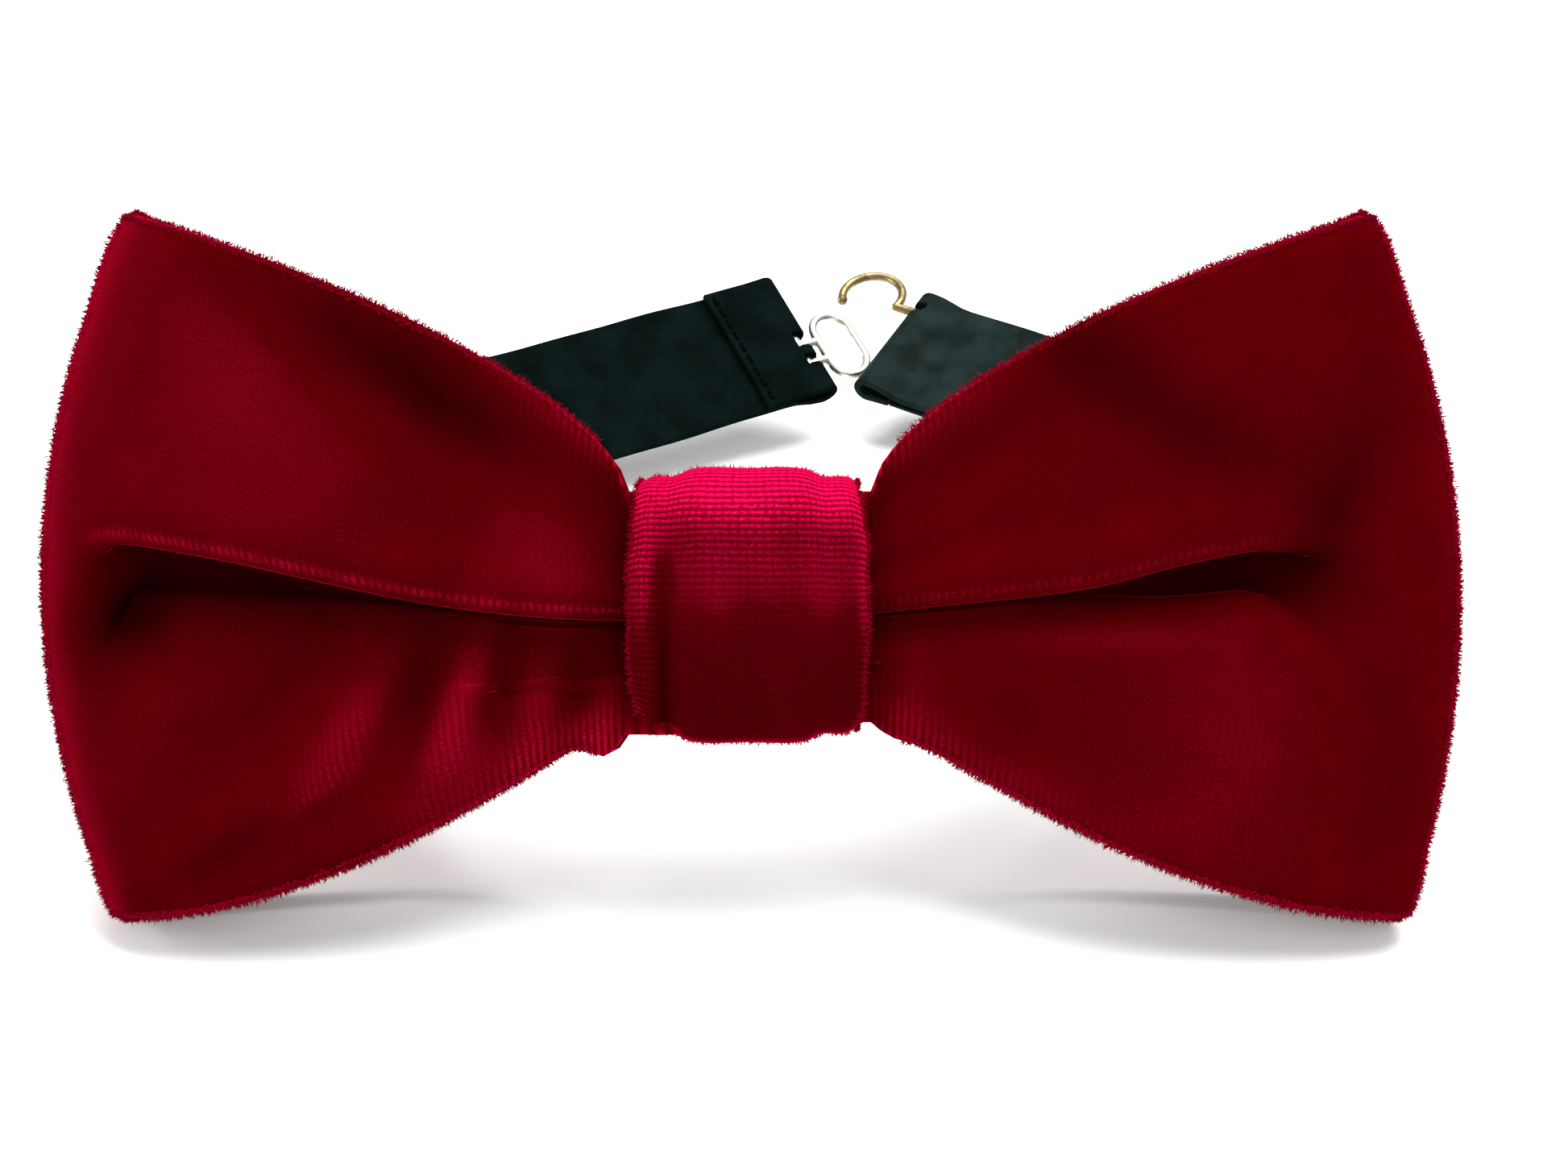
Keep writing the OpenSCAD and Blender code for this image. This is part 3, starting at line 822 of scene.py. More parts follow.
def wing_surface(
    shape: WingShape, turn: Array, v: Array, inset: float = 0.0, pleated: bool = True, margin: float = 0.0
) -> Array:
    """Places points on a wing.

    Args:
        shape: The wing.
        turn: Angle round the fold, in radians.
        v: Share of the cloth's height, from the lower hem's end to the upper hem's end.
        inset: How far the surface lies inside the wing's outside.
        pleated: False gives the smooth surface that the inner cloths follow.
        margin: How far an inner cloth stops short of the wing's edges.

    Returns:
        Points in the bow's frame.
    """
    f = np.sin(turn)
    low, high = shape.lower(f), shape.upper(f)
    front = smooth((math.pi / 2 - turn) / 0.25 + 0.5)
    pleat = shape.steps(shape.pleat_line, f)
    shoulder = np.minimum(shape.steps(shape.shoulder_line, f), pleat - 0.2)
    depth = shape.steps(shape.pocket_depths, f)
    kept = shape.fold_share(turn)
    if pleated:
        tall = high - pleat
        short = shoulder - low
        gentle = shape.soft_shoulder
        heights = (
            [low + z for z, _ in HEM]
            + [low + short * 0.35, low + short * (0.7 - 0.06 * gentle)]
            + [shoulder - 1.0 - 2.2 * gentle, shoulder - 0.5 * gentle, shoulder + 0.35]
            + [mix(shoulder, pleat, 0.6), pleat + shape.overlap, pleat + 1.0, pleat, pleat + 0.9]
            + [pleat + tall * 0.3, pleat + tall * 0.68]
            + [high - z for z, _ in reversed(HEM)]
        )
        lip = shape.lip
        soft = gentle * depth / 3.5
        insets = (
            [y for _, y in HEM]
            + [0.0, 0.15 * soft, 0.15 + 0.75 * soft, 0.95 + 0.9 * soft, depth * 0.75 + 0.3 * soft]
            + [depth, depth * 0.8, 1.3, 0.5, -lip, -lip * 0.6, -lip * 0.1]
            + [y for _, y in reversed(HEM)]
        )
        below = (SECTION_KNOTS[4:14] - SECTION_KNOTS[3]) / (SECTION_KNOTS[13] - SECTION_KNOTS[3])
        above = (SECTION_KNOTS[14:16] - SECTION_KNOTS[13]) / (SECTION_KNOTS[16] - SECTION_KNOTS[13])
        plain_heights = (
            [low + z for z, _ in HEM]
            + [mix(low + HEM[-1][0], pleat, t) for t in below]
            + [mix(pleat, high - HEM[-1][0], t) for t in above]
            + [high - z for z, _ in reversed(HEM)]
        )
        plain_insets = [y for _, y in HEM] + [0.0] * 12 + [y for _, y in reversed(HEM)]
        z = mix(spline(SECTION_KNOTS, plain_heights, v), spline(SECTION_KNOTS, heights, v), kept)
        into = mix(spline(SECTION_KNOTS, plain_insets, v), spline(SECTION_KNOTS, insets, v), kept)
    else:
        z = mix(low + margin, high - margin, v)
        a = (z - low) / (high - low)
        middle = (0.5 * (pleat + shoulder) - low) / (high - low)
        into = (depth + 0.9) * kept * hill(a, middle, 0.24)
    a = np.clip((z - low) / (high - low), 0, 1)
    x, y = shape.outline(turn, a)
    nx, ny = shape.inward(turn, a)
    pressed = shape.crease(x, z) * front * smooth((1 - f) / 0.12)
    if pleated:
        into = into + pressed * np.clip(1 - into / 2.5, 0, 1)
    else:
        into = into + np.maximum(pressed, 0)
    into = into + inset
    return np.stack([shape.side.value * (x + nx * into), y + ny * into, z], axis=1)


def wing_looks(shape: WingShape, turn: Array, v: Array) -> dict[str, Array]:
    """Paints a wing's highlights and shade as shine numbers and tells where its ribs show.

    Args:
        shape: The wing.
        turn: Angle round the fold, in radians.
        v: Share of the cloth's height.

    Returns:
        The shine, a painted highlight above 0 and painted shade below 0, and the nap from 0 to 1.
    """
    points = wing_surface(shape, turn, v)
    x, z = np.abs(points[:, 0]), points[:, 2]
    f = np.sin(turn)
    front = smooth((math.pi / 2 - turn) / 0.25 + 0.5)
    kept = shape.fold_share(turn)
    knots = SECTION_KNOTS
    raised = -shape.crease(x, z) * front
    edge = hill(v, knots[13] - 0.002, 0.0085) * kept
    pocket = smooth((v - knots[6]) / (knots[8] - knots[6])) * smooth((knots[12] + 0.012 - v) / 0.016) * kept
    hems = hill(v, knots[2], 0.014) + hill(v, knots[17], 0.014)
    by_knot = hill(f, 0.0, 0.09) * front
    low_edge = hill(z - shape.lower(f), 0.0, 2.6) * hill(f, 0.1, 0.3) * front
    high_edge = hill(z - shape.upper(f), 0.0, 2.6) * hill(f, 0.05, 0.2) * front
    rim = hill(turn, math.pi / 2, 0.24)
    # Painted highlight on wrinkle ridges, the pleat's edge, the hems, the upper and lower edges and the outer
    # fold; painted shade in wrinkle valleys, in the pocket under the pleat and beside the knot
    shine = (
        0.16 * np.clip(raised, 0, 3)
        + 0.2 * np.clip(raised, -3, 0)
        + shape.edge_shine * edge * (0.65 + 0.35 * np.sin(x * 1.7) * np.sin(x * 0.53))
        + 0.3 * low_edge
        + 0.22 * high_edge
        + 0.3 * hems
        + shape.rim_shine * rim
        - 0.65 * pocket * (1 - edge) * smooth((f - 0.15) / 0.45)
        - 0.35 * hill(f, 0.0, 0.035) * front
    )
    # Painted highlight and painted shade patches added to the shine
    for cx, cz, tilt, width, length, height in shape.painted_light_and_shade:
        across, along = (x - cx) - tilt * (z - cz), z - cz
        shine = shine + height * hill(across, 0.0, width) * hill(along, 0.0, length) * front
    nap = 0.03 + 0.9 * edge + 0.4 * by_knot + 0.9 * low_edge + 0.8 * high_edge + 0.6 * hems + 0.3 * rim
    nap = nap + 0.45 * np.clip(raised, 0, 1) * smooth((-5 - z) / 5)
    return {"shine": np.clip(shine, -1, 1), "nap": np.clip(nap, 0, 1)}


LEFT_WING = WingShape(
    Side.LEFT,
    pleat_line=(-1.5, -1.3, -0.7, 0.3, 1.6, 3.0, 4.2, 5.2, 6.0),
    shoulder_line=(-2.0, -1.8, -1.2, -0.4, 0.3, 0.8, 1.2, 1.6, 2.4),
    pocket_depths=(1.6, 1.8, 2.5, 3.2, 3.8, 4.3, 4.6, 4.4, 3.4),
    pleat_shares=(1, 1, 1, 1, 1, 1, 1, 0.9, 0.0),
    wrinkles=(
        (27.0, 17.5, 1.2, 0.0, 5.5, 9.0, -2.2),
        (42.0, 19.0, 0.5, 0.0, 6.0, 12.0, 1.0),
        (17.0, 5.0, 0.2, 0.0, 4.0, 8.0, 0.7),
        (11.5, -10.0, -0.1, 0.0, 1.4, 6.0, 1.1),
        (14.6, -9.0, -0.15, 0.006, 1.4, 6.0, -1.1),
        (18.0, -11.0, -0.2, 0.008, 1.6, 6.5, 1.2),
        (20.9, -7.0, -0.2, 0.01, 1.2, 5.0, -1.1),
        (23.6, -8.5, -0.25, 0.012, 1.7, 7.0, 1.7),
        (27.6, -7.0, -0.25, 0.012, 1.9, 6.0, -2.2),
        (33.0, -12.0, -0.6, 0.012, 2.6, 6.0, 1.4),
        (39.0, -8.0, -0.5, 0.01, 3.2, 7.0, -1.0),
        (46.0, -14.0, -0.5, 0.01, 3.0, 6.0, -0.8),
    ),
    knot_bulge=2.4,
    soft_shoulder=1.6,
    rim_shine=1.0,
    edge_shine=0.6,
    painted_light_and_shade=(
        (31.0, 19.0, 1.2, 6.0, 9.0, -0.22),
        (13.0, -11.0, 0.0, 2.6, 3.0, 0.3),
        (24.0, -12.0, 0.0, 3.2, 3.0, 0.22),
        (37.0, -17.0, -1.2, 1.4, 3.0, 0.2),
        (47.0, 12.0, 0.2, 7.0, 12.0, 0.07),
        (18.0, 7.0, 0.6, 4.0, 8.0, 0.06),
        (52.0, -1.5, 0.0, 4.0, 3.0, -0.7),
        (42.0, -20.0, -1.6, 3.0, 4.0, -0.45),
        (30.0, -22.0, -1.0, 4.0, 2.2, -0.4),
        (47.0, -14.0, 0.0, 5.0, 8.0, 0.05),
    ),
)
RIGHT_WING = WingShape(
    Side.RIGHT,
    pleat_line=(-0.9, -0.2, 0.4, 1.3, 2.9, 4.2, 5.2, 6.6, 10.5),
    shoulder_line=(-1.4, -0.9, -0.2, 0.3, 0.5, 1.2, 2.8, 5.0, 9.0),
    pocket_depths=(1.6, 1.8, 2.2, 3.2, 4.0, 3.8, 2.8, 1.9, 1.4),
    pleat_shares=(1, 1, 1, 1, 1, 1, 0.85, 0.35, 0.0),
    wrinkles=(
        (30.0, 18.0, -1.2, 0.0, 6.0, 10.0, -1.0),
        (48.0, 10.0, 0.35, 0.02, 3.0, 9.0, -1.2),
        (13.0, -9.0, 0.1, 0.0, 1.8, 6.0, 0.5),
        (20.0, -11.0, 0.2, 0.0, 3.5, 7.0, -0.35),
        (40.0, -12.0, 0.3, 0.0, 8.0, 12.0, 0.5),
    ),
    corner_out=2.2,
    knot_bulge=0.8,
    pleat_end=0.9,
    pleat_fade=0.3,
    rim_shine=0.12,
    edge_shine=0.22,
    soft_shoulder=0.7,
    painted_light_and_shade=(
        (33.0, 18.0, -1.2, 6.0, 9.0, -0.3),
        (50.0, 9.0, 0.5, 2.5, 7.0, -0.4),
        (30.0, -3.0, 0.0, 9.0, 1.2, 0.12),
        (52.0, -10.0, 0.0, 4.0, 12.0, -0.15),
    ),
)


@dataclass
class Bow:
    """The velvet strip folded into both wings, with the cloths inside it."""

    place: BowFrame
    left: WingShape = LEFT_WING
    right: WingShape = RIGHT_WING
    velvet_t: float = 0.75
    strip_length: float = 236.0
    strip_height: float = 68.0
    columns: int = 250
    rows: int = 150
    waist: float = 0.04

    def strip(self, inset: float, pleated: bool, margin: float = 0.0) -> Callable[[Array, Array], Array]:
        """Gives the placing of a cloth that runs through both wings.

        Args:
            inset: How far the cloth lies inside the velvet's outside.
            pleated: Whether it follows the pleats.
            margin: How far it stops short of the wings' edges.

        Returns:
            A function from shares along and across to points in the part's frame.
        """
        def place(u: Array, v: Array) -> Array:
            """Places the strip, from its left end at the back to its right end."""
            across, turn = self.turn_at(u)
            points = np.where(
                (across < 0)[:, None],
                wing_surface(self.left, turn, v, inset, pleated, margin),
                wing_surface(self.right, turn, v, inset, pleated, margin),
            )
            inner = np.abs(across) < self.waist
            points[inner, 0] *= (np.abs(across) / self.waist)[inner]
            return self.place.placed(points)

        return place

    def turn_at(self, u: Array) -> tuple[Array, Array]:
        """Which side of the middle a share of the strip's length is on, and how far round its wing."""
        across = (u - 0.5) * 2
        turn = math.pi * np.clip((np.abs(across) - self.waist) / (1 - self.waist), 0, 1)
        # More columns at the outer fold and fewer on the back
        return across, turn - 0.10 * np.sin(2 * turn)

    def looks(self, u: Array, v: Array) -> dict[str, Array]:
        """Gives the velvet's painted highlight and shade, as shine numbers, and its nap from its shares along
        and across.
        """
        across, turn = self.turn_at(u)
        left, right = wing_looks(self.left, turn, v), wing_looks(self.right, turn, v)
        return {key: np.where(across < 0, left[key], right[key]) for key in left}

    def build(self) -> list[bpy.types.Object]:
        """Builds the velvet, the interlining and the lining.

        Returns:
            The three cloths.
        """
        flat = (self.strip_length, self.strip_height)
        placed = self.strip(0.0, True)
        velvet = Studio.cloth("velvet_wings", self.columns, self.rows, placed, flat, self.looks)
        Studio.thicken(velvet, self.velvet_t)
        dress(velvet, VELVET.build())
        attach(velvet, "bow")
        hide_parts("bow_velvet")
        made = [velvet]
        for name, node, inset, thick, margin, finish in (
            ("wing_interlining", "bow_interlining", 1.0, 0.3, 3.2, INTERLINING),
            ("wing_lining", "bow_lining", 1.5, 0.25, 1.4, LINING),
        ):
            cloth = Studio.cloth(name, 150, 40, self.strip(inset, False, margin), (flat[0] - 4, flat[1] - 12))
            Studio.thicken(cloth, thick)
            dress(cloth, finish.build())
            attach(cloth, "bow")
            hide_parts(node)
            made.append(cloth)
        return made


@dataclass
class Pile:
    """The tufts that stand out along the velvet's folds and edges."""

    place: BowFrame
    tall: float = 0.55
    base: float = 0.07
    spikes: int = 6
    spread: float = 0.45
    seed: int = 7

    def spike(self) -> tuple[Array, list[tuple[int, ...]]]:
        """Models one fibre tip and takes its shape.

        Returns:
            Its points, one long and pointing up z, and its faces.
        """
        Studio.deselect()
        bpy.ops.mesh.primitive_cone_add(vertices=3, radius1=1, radius2=0, depth=1)
        cone = Studio.named("fibre")
        points = np.array([v.co[:] for v in cone.data.vertices]) + np.array([0, 0, 0.5])
        faces = [tuple(p.vertices) for p in cone.data.polygons]
        bpy.data.objects.remove(cone)
        return points, faces

    def grow(self, roots: Array, out: Array, name: str, finish: bpy.types.Material) -> bpy.types.Object:
        """Sets tufts of fibre tips on a row of roots.

        Args:
            roots: Where the tufts stand, in the part's frame.
            out: The direction out of the cloth at each root.
            name: The piece's name.
            finish: Its material.

        Returns:
            The tufts as one piece.
        """
        chance = np.random.default_rng(self.seed)
        shape, faces = self.spike()
        roots = np.repeat(roots, self.spikes, axis=0)
        out = np.repeat(out, self.spikes, axis=0)
        count = len(roots)
        roots = roots + chance.normal(0, 0.11, (count, 3))
        aim = out + chance.normal(0, self.spread, (count, 3))
        aim /= np.linalg.norm(aim, axis=1)[:, None]
        side = np.cross(aim, chance.normal(0, 1, (count, 3)))
        side /= np.linalg.norm(side, axis=1)[:, None]
        other = np.cross(aim, side)
        tall = self.tall * chance.uniform(0.55, 1.15, count)
        points = (
            (roots - aim * 0.12)[:, None]
            + shape[None, :, 0:1] * side[:, None] * self.base
            + shape[None, :, 1:2] * other[:, None] * self.base
            + shape[None, :, 2:3] * (aim * tall[:, None])[:, None]
        )
        starts = range(0, count * len(shape), len(shape))
        moved = [tuple(i + at for i in f) for at in starts for f in faces]
        mesh = bpy.data.meshes.new(name)
        mesh.from_pydata((points.reshape(-1, 3) * MM).tolist(), [], moved)
        piece = bpy.data.objects.new(name, mesh)
        bpy.context.scene.collection.objects.link(piece)
        uv = mesh.uv_layers.new(name="UVMap")
        uv.data.foreach_set("uv", chance.uniform(0, 40, len(mesh.loops) * 2))
        Studio.mark(mesh, "nap", np.ones(len(mesh.vertices)))
        dress(piece, finish)
        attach(piece, "bow")
        return piece

    @staticmethod
    def on_surface(surface: Callable[[Array, Array], Array], u: Array, v: Array) -> tuple[Array, Array]:
        """Finds roots and directions on a cloth.

        Args:
            surface: Places shares along and across the cloth.
            u: Shares along.
            v: Shares across.

        Returns:
            Places and unit directions out of the cloth.
        """
        step = 0.0015
        here = surface(u, v)
        du = surface(np.clip(u + step, 0, 1), v) - surface(np.clip(u - step, 0, 1), v)
        dv = surface(u, np.clip(v + step, 0, 1)) - surface(u, np.clip(v - step, 0, 1))
        out = np.cross(du, dv)
        length = np.linalg.norm(out, axis=1)
        kept = length > 1e-9
        return here[kept], out[kept] / length[kept][:, None]

    def build(self, bow: Bow, knot: "Knot", finish: bpy.types.Material) -> list[bpy.types.Object]:
        """Grows the pile on the wings' edges and on the knot's.

        Args:
            bow: The wings.
            knot: The band.
            finish: The pile's material.

        Returns:
            Both pieces.
        """
        along = np.linspace(0.03, 0.97, 900)
        along = along[np.abs(along - 0.5) > 0.03]
        lines = [(along, np.full_like(along, SECTION_KNOTS[k])) for k in (2, 3, 16, 17)]
        up = np.linspace(0.04, 0.96, 170)
        lines += [(np.full_like(up, u), up) for u in (0.243, 0.25, 0.257, 0.264, 0.736, 0.743, 0.75, 0.757)]
        roots, out = self.on_surface(
            bow.strip(0.0, True), np.concatenate([a for a, _ in lines]), np.concatenate([b for _, b in lines])
        )
        wings = self.grow(roots, out, "wing_pile", finish)
        around = np.linspace(0.06, 0.94, 240)
        edges = [(around, np.full_like(around, v)) for v in (0.12, 0.88)]
        across = np.linspace(0.16, 0.84, 60)
        edges += [(np.full_like(across, u), across) for u in (0.235, 0.25, 0.755)]
        roots, out = self.on_surface(
            knot.band(0.0, knot.half_width, True),
            np.concatenate([a for a, _ in edges]),
            np.concatenate([b for _, b in edges]),
        )
        return [wings, self.grow(roots, out, "knot_pile", finish)]


@dataclass
class Knot:
    """The velvet band round the middle, with the stiffener behind it."""

    place: BowFrame
    half_width: float = 9.9
    front: float = 6.9
    back: float = 6.88
    rise: float = 11.5
    drop: float = 11.6
    shoulder: float = 0.6
    velvet_t: float = 0.7
    columns: int = 220
    rows: int = 110

    def section(self, round_share: Array, inset: Array) -> tuple[Array, Array]:
        """The band's outline, seen from its side.

        Args:
            round_share: Share of the way round, from the seam at the back over the top and down the front.
            inset: How far inside the outline a point lies.

        Returns:
            Distances behind and above the knot's centre.
        """
        angle = round_share * 2 * math.pi
        cosine, sine = np.cos(angle), np.sin(angle)
        at_back = smooth(cosine * 1.5)
        power = mix(2 / 2.7, 2 / 6.5, at_back)
        deep = np.where(cosine > 0, self.back, self.front) - inset
        tall = np.where(sine > 0, self.rise, self.drop) - inset
        y = deep * np.sign(cosine) * np.power(np.abs(cosine), power)
        z = tall * np.sign(sine) * np.power(np.abs(sine), power)
        return y, z

    def band(self, inset: float, half_width: float, hemmed: bool) -> Callable[[Array, Array], Array]:
        """Gives the placing of a band round the knot.

        Args:
            inset: How far inside the velvet's outside it lies.
            half_width: Half its width along the bow.
            hemmed: Whether its edges roll under.

        Returns:
            A function from shares round and across to points in the part's frame.
        """
        lines = (0.0, 0.05, 0.1, 0.14, 0.19, 0.27, 0.33, 0.5, 0.67, 0.73, 0.81, 0.86, 0.9, 0.95, 1.0)
        spans = (-0.8, -0.93, -1.0, -0.98, -0.9, -0.7, -0.57, 0.0, 0.55, 0.68, 0.9, 0.98, 1.0, 0.93, 0.8)

        turns = np.linspace(0, 1, 721)
        lengths = np.concatenate([[0], np.cumsum(np.hypot(*np.diff(self.section(turns, inset), axis=1)))])

        def place(u: Array, v: Array) -> Array:
            """Places the band, closed at the seam, with its points at even steps round it."""
            u = np.interp(u * lengths[-1], lengths, turns)
            angle = u * 2 * math.pi
            off_seam = 0.5 - 0.5 * np.cos(angle) > 0.1
            step = self.shoulder * (0.3 + 0.7 * np.abs(np.sin(angle)) ** 3) * off_seam
            falls = (1.75, 1.7, 1.1, 0.45, 0.0, 0.0)
            if hemmed:
                drops = [np.full(u.shape, d) for d in falls]
                drops[3:6] = [step + 0.4, step, step * 0.9]
                middle = [np.zeros_like(u), np.zeros_like(u) - 0.15 * np.sin(angle) ** 2]
                fall = spline(lines, [*drops, *middle, middle[0], *drops[::-1]], v)
                x = spline(lines, [np.full(u.shape, s) for s in spans], v) * half_width
            else:
                fall = step * smooth((np.abs(v - 0.5) - 0.25) / 0.1)
                x = (v * 2 - 1) * half_width
            y, z = self.section(u, inset + fall)
            # A shallow groove where the band's ends meet behind
            groove = 0.55 * hill(z, 0.0, 0.55) * (y > 0)
            narrow = 1 - 0.085 * (z / self.rise) ** 2
            sway = 0.16 * np.sin(z * 0.9 + x * 0.35) + 0.1 * np.sin(z * 1.9 - 1.0)
            front = np.clip(-y / self.front, 0, 1)
            y = y - groove - 0.12 * front * np.sin(z * 0.55 + 0.6 * x)
            return self.place.placed(np.stack([x * narrow + sway * 0.5, y, z], axis=1))

        return place

    def build(self) -> list[bpy.types.Object]:
        """Builds the velvet band and its stiffener.

        Returns:
            Both pieces.
        """
        around = 2 * math.pi * 10.2
        band = self.band(0.0, self.half_width, True)
        flat = (around, 27.0)
        velvet = Studio.cloth("velvet_knot", self.columns, self.rows, band, flat, self.looks)
        self.close(velvet)
        Studio.thicken(velvet, self.velvet_t)
        dress(velvet, KNOT_VELVET.build())
        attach(velvet, "bow")
        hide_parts("knot_band")
        stiffener = Studio.cloth("knot_stiffener", 90, 20, self.band(2.75, 8.6, False), (around, 17.0))
        self.close(stiffener)
        Studio.thicken(stiffener, 0.35)
        dress(stiffener, INTERLINING.build())
        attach(stiffener, "bow")
        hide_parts("knot_interfacing")
        return [velvet, stiffener]

    def looks(self, u: Array, v: Array) -> dict[str, Array]:
        """Gives the velvet's painted highlight and shade, as shine numbers, and its nap from its shares round
        and across.
        """
        points = self.band(0.0, self.half_width, True)(u, v) - np.array(self.place.knot)
        x = points[:, 0]
        y = points @ np.array(self.place.back_axis)
        z = points @ np.array(self.place.up_axis)
        rise = 0.87 * z + 0.49 * y
        spread = 0.45 + 0.55 * np.clip(hill(x, -1.0, 5.5) + hill(x, 7.2, 1.5), 0, 1)
        left_edge = hill(x, -8.6, 1.0) * smooth((6 - rise) / 5) * (y < 0)
        right_edge = hill(x, 9.6, 0.5) * (y < 1)
        # Painted highlight over the knot's top, where the light from above falls, and on its side edges;
        # lighter towards the top
        shine = (
            1.1 * smooth((rise - 1.0) / 5.4) * spread * smooth((5.0 - y) / 4)
            + 0.05 * np.sin(x * 1.1 + 1.0) * np.sin(x * 0.37 + rise * 0.2)
            + 0.18 * smooth((rise + 9) / 9)
            + 0.22 * left_edge
            + 0.25 * right_edge
            # Painted shade towards the knot's bottom and in a streak near its left edge
            - 0.2 * smooth((-1 - rise) / 6)
            - 0.5 * hill(x, -7.0, 0.9) * smooth((2 - rise) / 4) * (y < 0)
        )
        nap = mix(0.3, 1.0, smooth((rise + 5.5) / 9)) + 0.7 * left_edge + 0.6 * right_edge
        return {"shine": np.clip(shine, -1, 1), "nap": np.clip(nap, 0, 1)}

    @staticmethod
    def close(piece: bpy.types.Object) -> None:
        """Joins the band's two ends."""
        Studio.choose(piece)
        bpy.ops.object.mode_set(mode="EDIT")
        bpy.ops.mesh.select_all(action="SELECT")
        bpy.ops.mesh.remove_doubles(threshold=0.00001)
        bpy.ops.mesh.normals_make_consistent(inside=False)
        bpy.ops.object.mode_set(mode="OBJECT")


# ---- The strap


@dataclass
class StrapPath:
    """The way one side of the strap runs over the table, from behind the knot to its end."""

    side: Side
    lean_back: float
    rise: float
    knot: BowFrame
    width: float = 19.0
    thick: float = 0.9
    loop_depth: float = 92.0
    clasp_offset: float = 11.0
    end_gap: float = 5.4
    bend_r: float = 22.0
    first_r: float = 12.0
    front_turn: float = 33.0
    back_turn: float = 31.0
    back_lift: float = 3.0
    flat_half: float = 10.8
    strap_y: float = 4.83
    touch_share: float = 0.3
    lift_share: float = 0.6
    lean: float = 32.0

    def __post_init__(self) -> None:
        """Works out the lengths of the straight and bent stretches."""
        self.knot_z = self.knot.knot.z
        lean = math.radians(self.lean)
        self.start = np.array([self.strap_y * math.cos(lean), self.knot_z - self.strap_y * math.sin(lean)])
        side = self.side.value
        gap = self.end_gap / 2
        out = self.width / 2 * math.sin(math.radians(self.lean_back)) * math.sin(math.radians(self.back_turn))
        end = np.array([self.clasp_offset * side + gap + out, self.loop_depth])
        last = 180 - self.back_turn
        goal = (
            end
            - np.array([self.flat_half, self.start[0]])
            - self.arc(self.first_r, 0, self.front_turn)
            - self.arc(self.bend_r, self.front_turn, last)
        )
        legs = np.linalg.solve(np.array([self.heading(self.front_turn), self.heading(last)]).T, goal)
        s1 = self.flat_half + self.first_r * math.radians(self.front_turn)
        s2 = s1 + legs[0]
        s3 = s2 + self.bend_r * math.radians(last - self.front_turn)
        self.stops = (self.flat_half, s1, s2, s3, s3 + legs[1])
        self.last = last

    @staticmethod
    def heading(angle: float) -> Array:
        """The direction of a heading in degrees."""
        return np.array([math.cos(math.radians(angle)), math.sin(math.radians(angle))])

    @staticmethod
    def arc(radius: float, start: float, end: float) -> Array:
        """The step from one end of an arc to the other."""
        a, b = math.radians(start), math.radians(end)
        return radius * np.array([math.sin(b) - math.sin(a), math.cos(a) - math.cos(b)])

    def plan(self, s: float) -> tuple[Array, float]:
        """Place and heading on the table, for the right side."""
        k = self.stops
        p0 = np.array([self.flat_half, self.start[0]])
        p1 = p0 + self.arc(self.first_r, 0, self.front_turn)
        p2 = p1 + (k[2] - k[1]) * self.heading(self.front_turn)
        p3 = p2 + self.arc(self.bend_r, self.front_turn, self.last)
        if s < k[0]:
            return np.array([s, self.start[0]]), 0.0
        if s < k[1]:
            a = math.degrees((s - k[0]) / self.first_r)
            return p0 + self.arc(self.first_r, 0, a), a
        if s < k[2]:
            return p1 + (s - k[1]) * self.heading(self.front_turn), self.front_turn
        if s < k[3]:
            a = self.front_turn + math.degrees((s - k[2]) / self.bend_r)
            return p2 + self.arc(self.bend_r, self.front_turn, a), a
        return p3 + (s - k[3]) * self.heading(self.last), self.last

    def foot(self, s: float) -> float:
        """Height of the strap's lower edge."""
        k = self.stops
        touch, lift = mix(k[2], k[3], self.touch_share), mix(k[2], k[3], self.lift_share)
        lean = math.radians(self.lean)
        start = self.start[1] - self.width / 2 * math.cos(lean) - self.thick / 2 * math.sin(lean)
        if s > k[3]:
            return self.back_lift + (s - k[3]) * math.tan(math.radians(self.rise))
        if s > touch:
            return self.back_lift * float(smooth(np.array((s - lift) / (k[3] - lift))))
        return start * (1 - float(smooth(np.array((s - k[0]) / (touch - k[0])))))

    def frame_at(self, s: float) -> Array:
        """Centre, and the directions along, across and through the strap, in the part's frame.

        Args:
            s: Distance along the strap from the knot's centre.

        Returns:
            Four rows of three numbers.
        """
        side = self.side.value
        here, a = self.plan(s)
        k = self.stops
        sheen_and_painted_highlight = float(smooth(np.array((s - k[0]) / (k[3] - k[0]))))
        tilt = math.radians(mix(-self.lean, self.lean_back, sheen_and_painted_highlight))
        turn = math.radians(a)
        out = np.array([math.sin(turn), -math.cos(turn), 0.0])
        rough = math.cos(tilt) * np.array([0.0, 0.0, 1.0]) + math.sin(tilt) * out
        slope = math.tan(math.radians(self.rise)) if s > k[3] else 0.0
        along = np.array([math.cos(turn), math.sin(turn), slope])
        along /= np.linalg.norm(along)
        across = rough - rough.dot(along) * along
        across /= np.linalg.norm(across)
        high = self.foot(s) + self.width / 2 * math.cos(tilt) + self.thick / 2 * abs(math.sin(tilt))
        flip = np.array([side, 1.0, 1.0])
        knot = self.knot.knot
        centre = flip * np.array([here[0], here[1], high]) + np.array([knot.x, knot.y, 0.0])
        return np.array([centre, flip * along, flip * across, np.cross(flip * across, flip * along)])

    def ribbon(self, path: Array, half_width: float, wobble: float = 0.12) -> Callable[[Array, Array], Array]:
        """Gives the placing of a ribbon that follows points beside the strap's path.

        Args:
            path: Rows of distance along the strap and offset through it.
            half_width: Half the ribbon's width.
            wobble: How much the ribbon's faces wander.

        Returns:
            A function from shares along and across to points in the part's frame.
        """
        lengths = np.concatenate([[0], np.cumsum(np.hypot(*np.diff(path, axis=0).T))])
        lengths /= lengths[-1]
        side = self.side.value

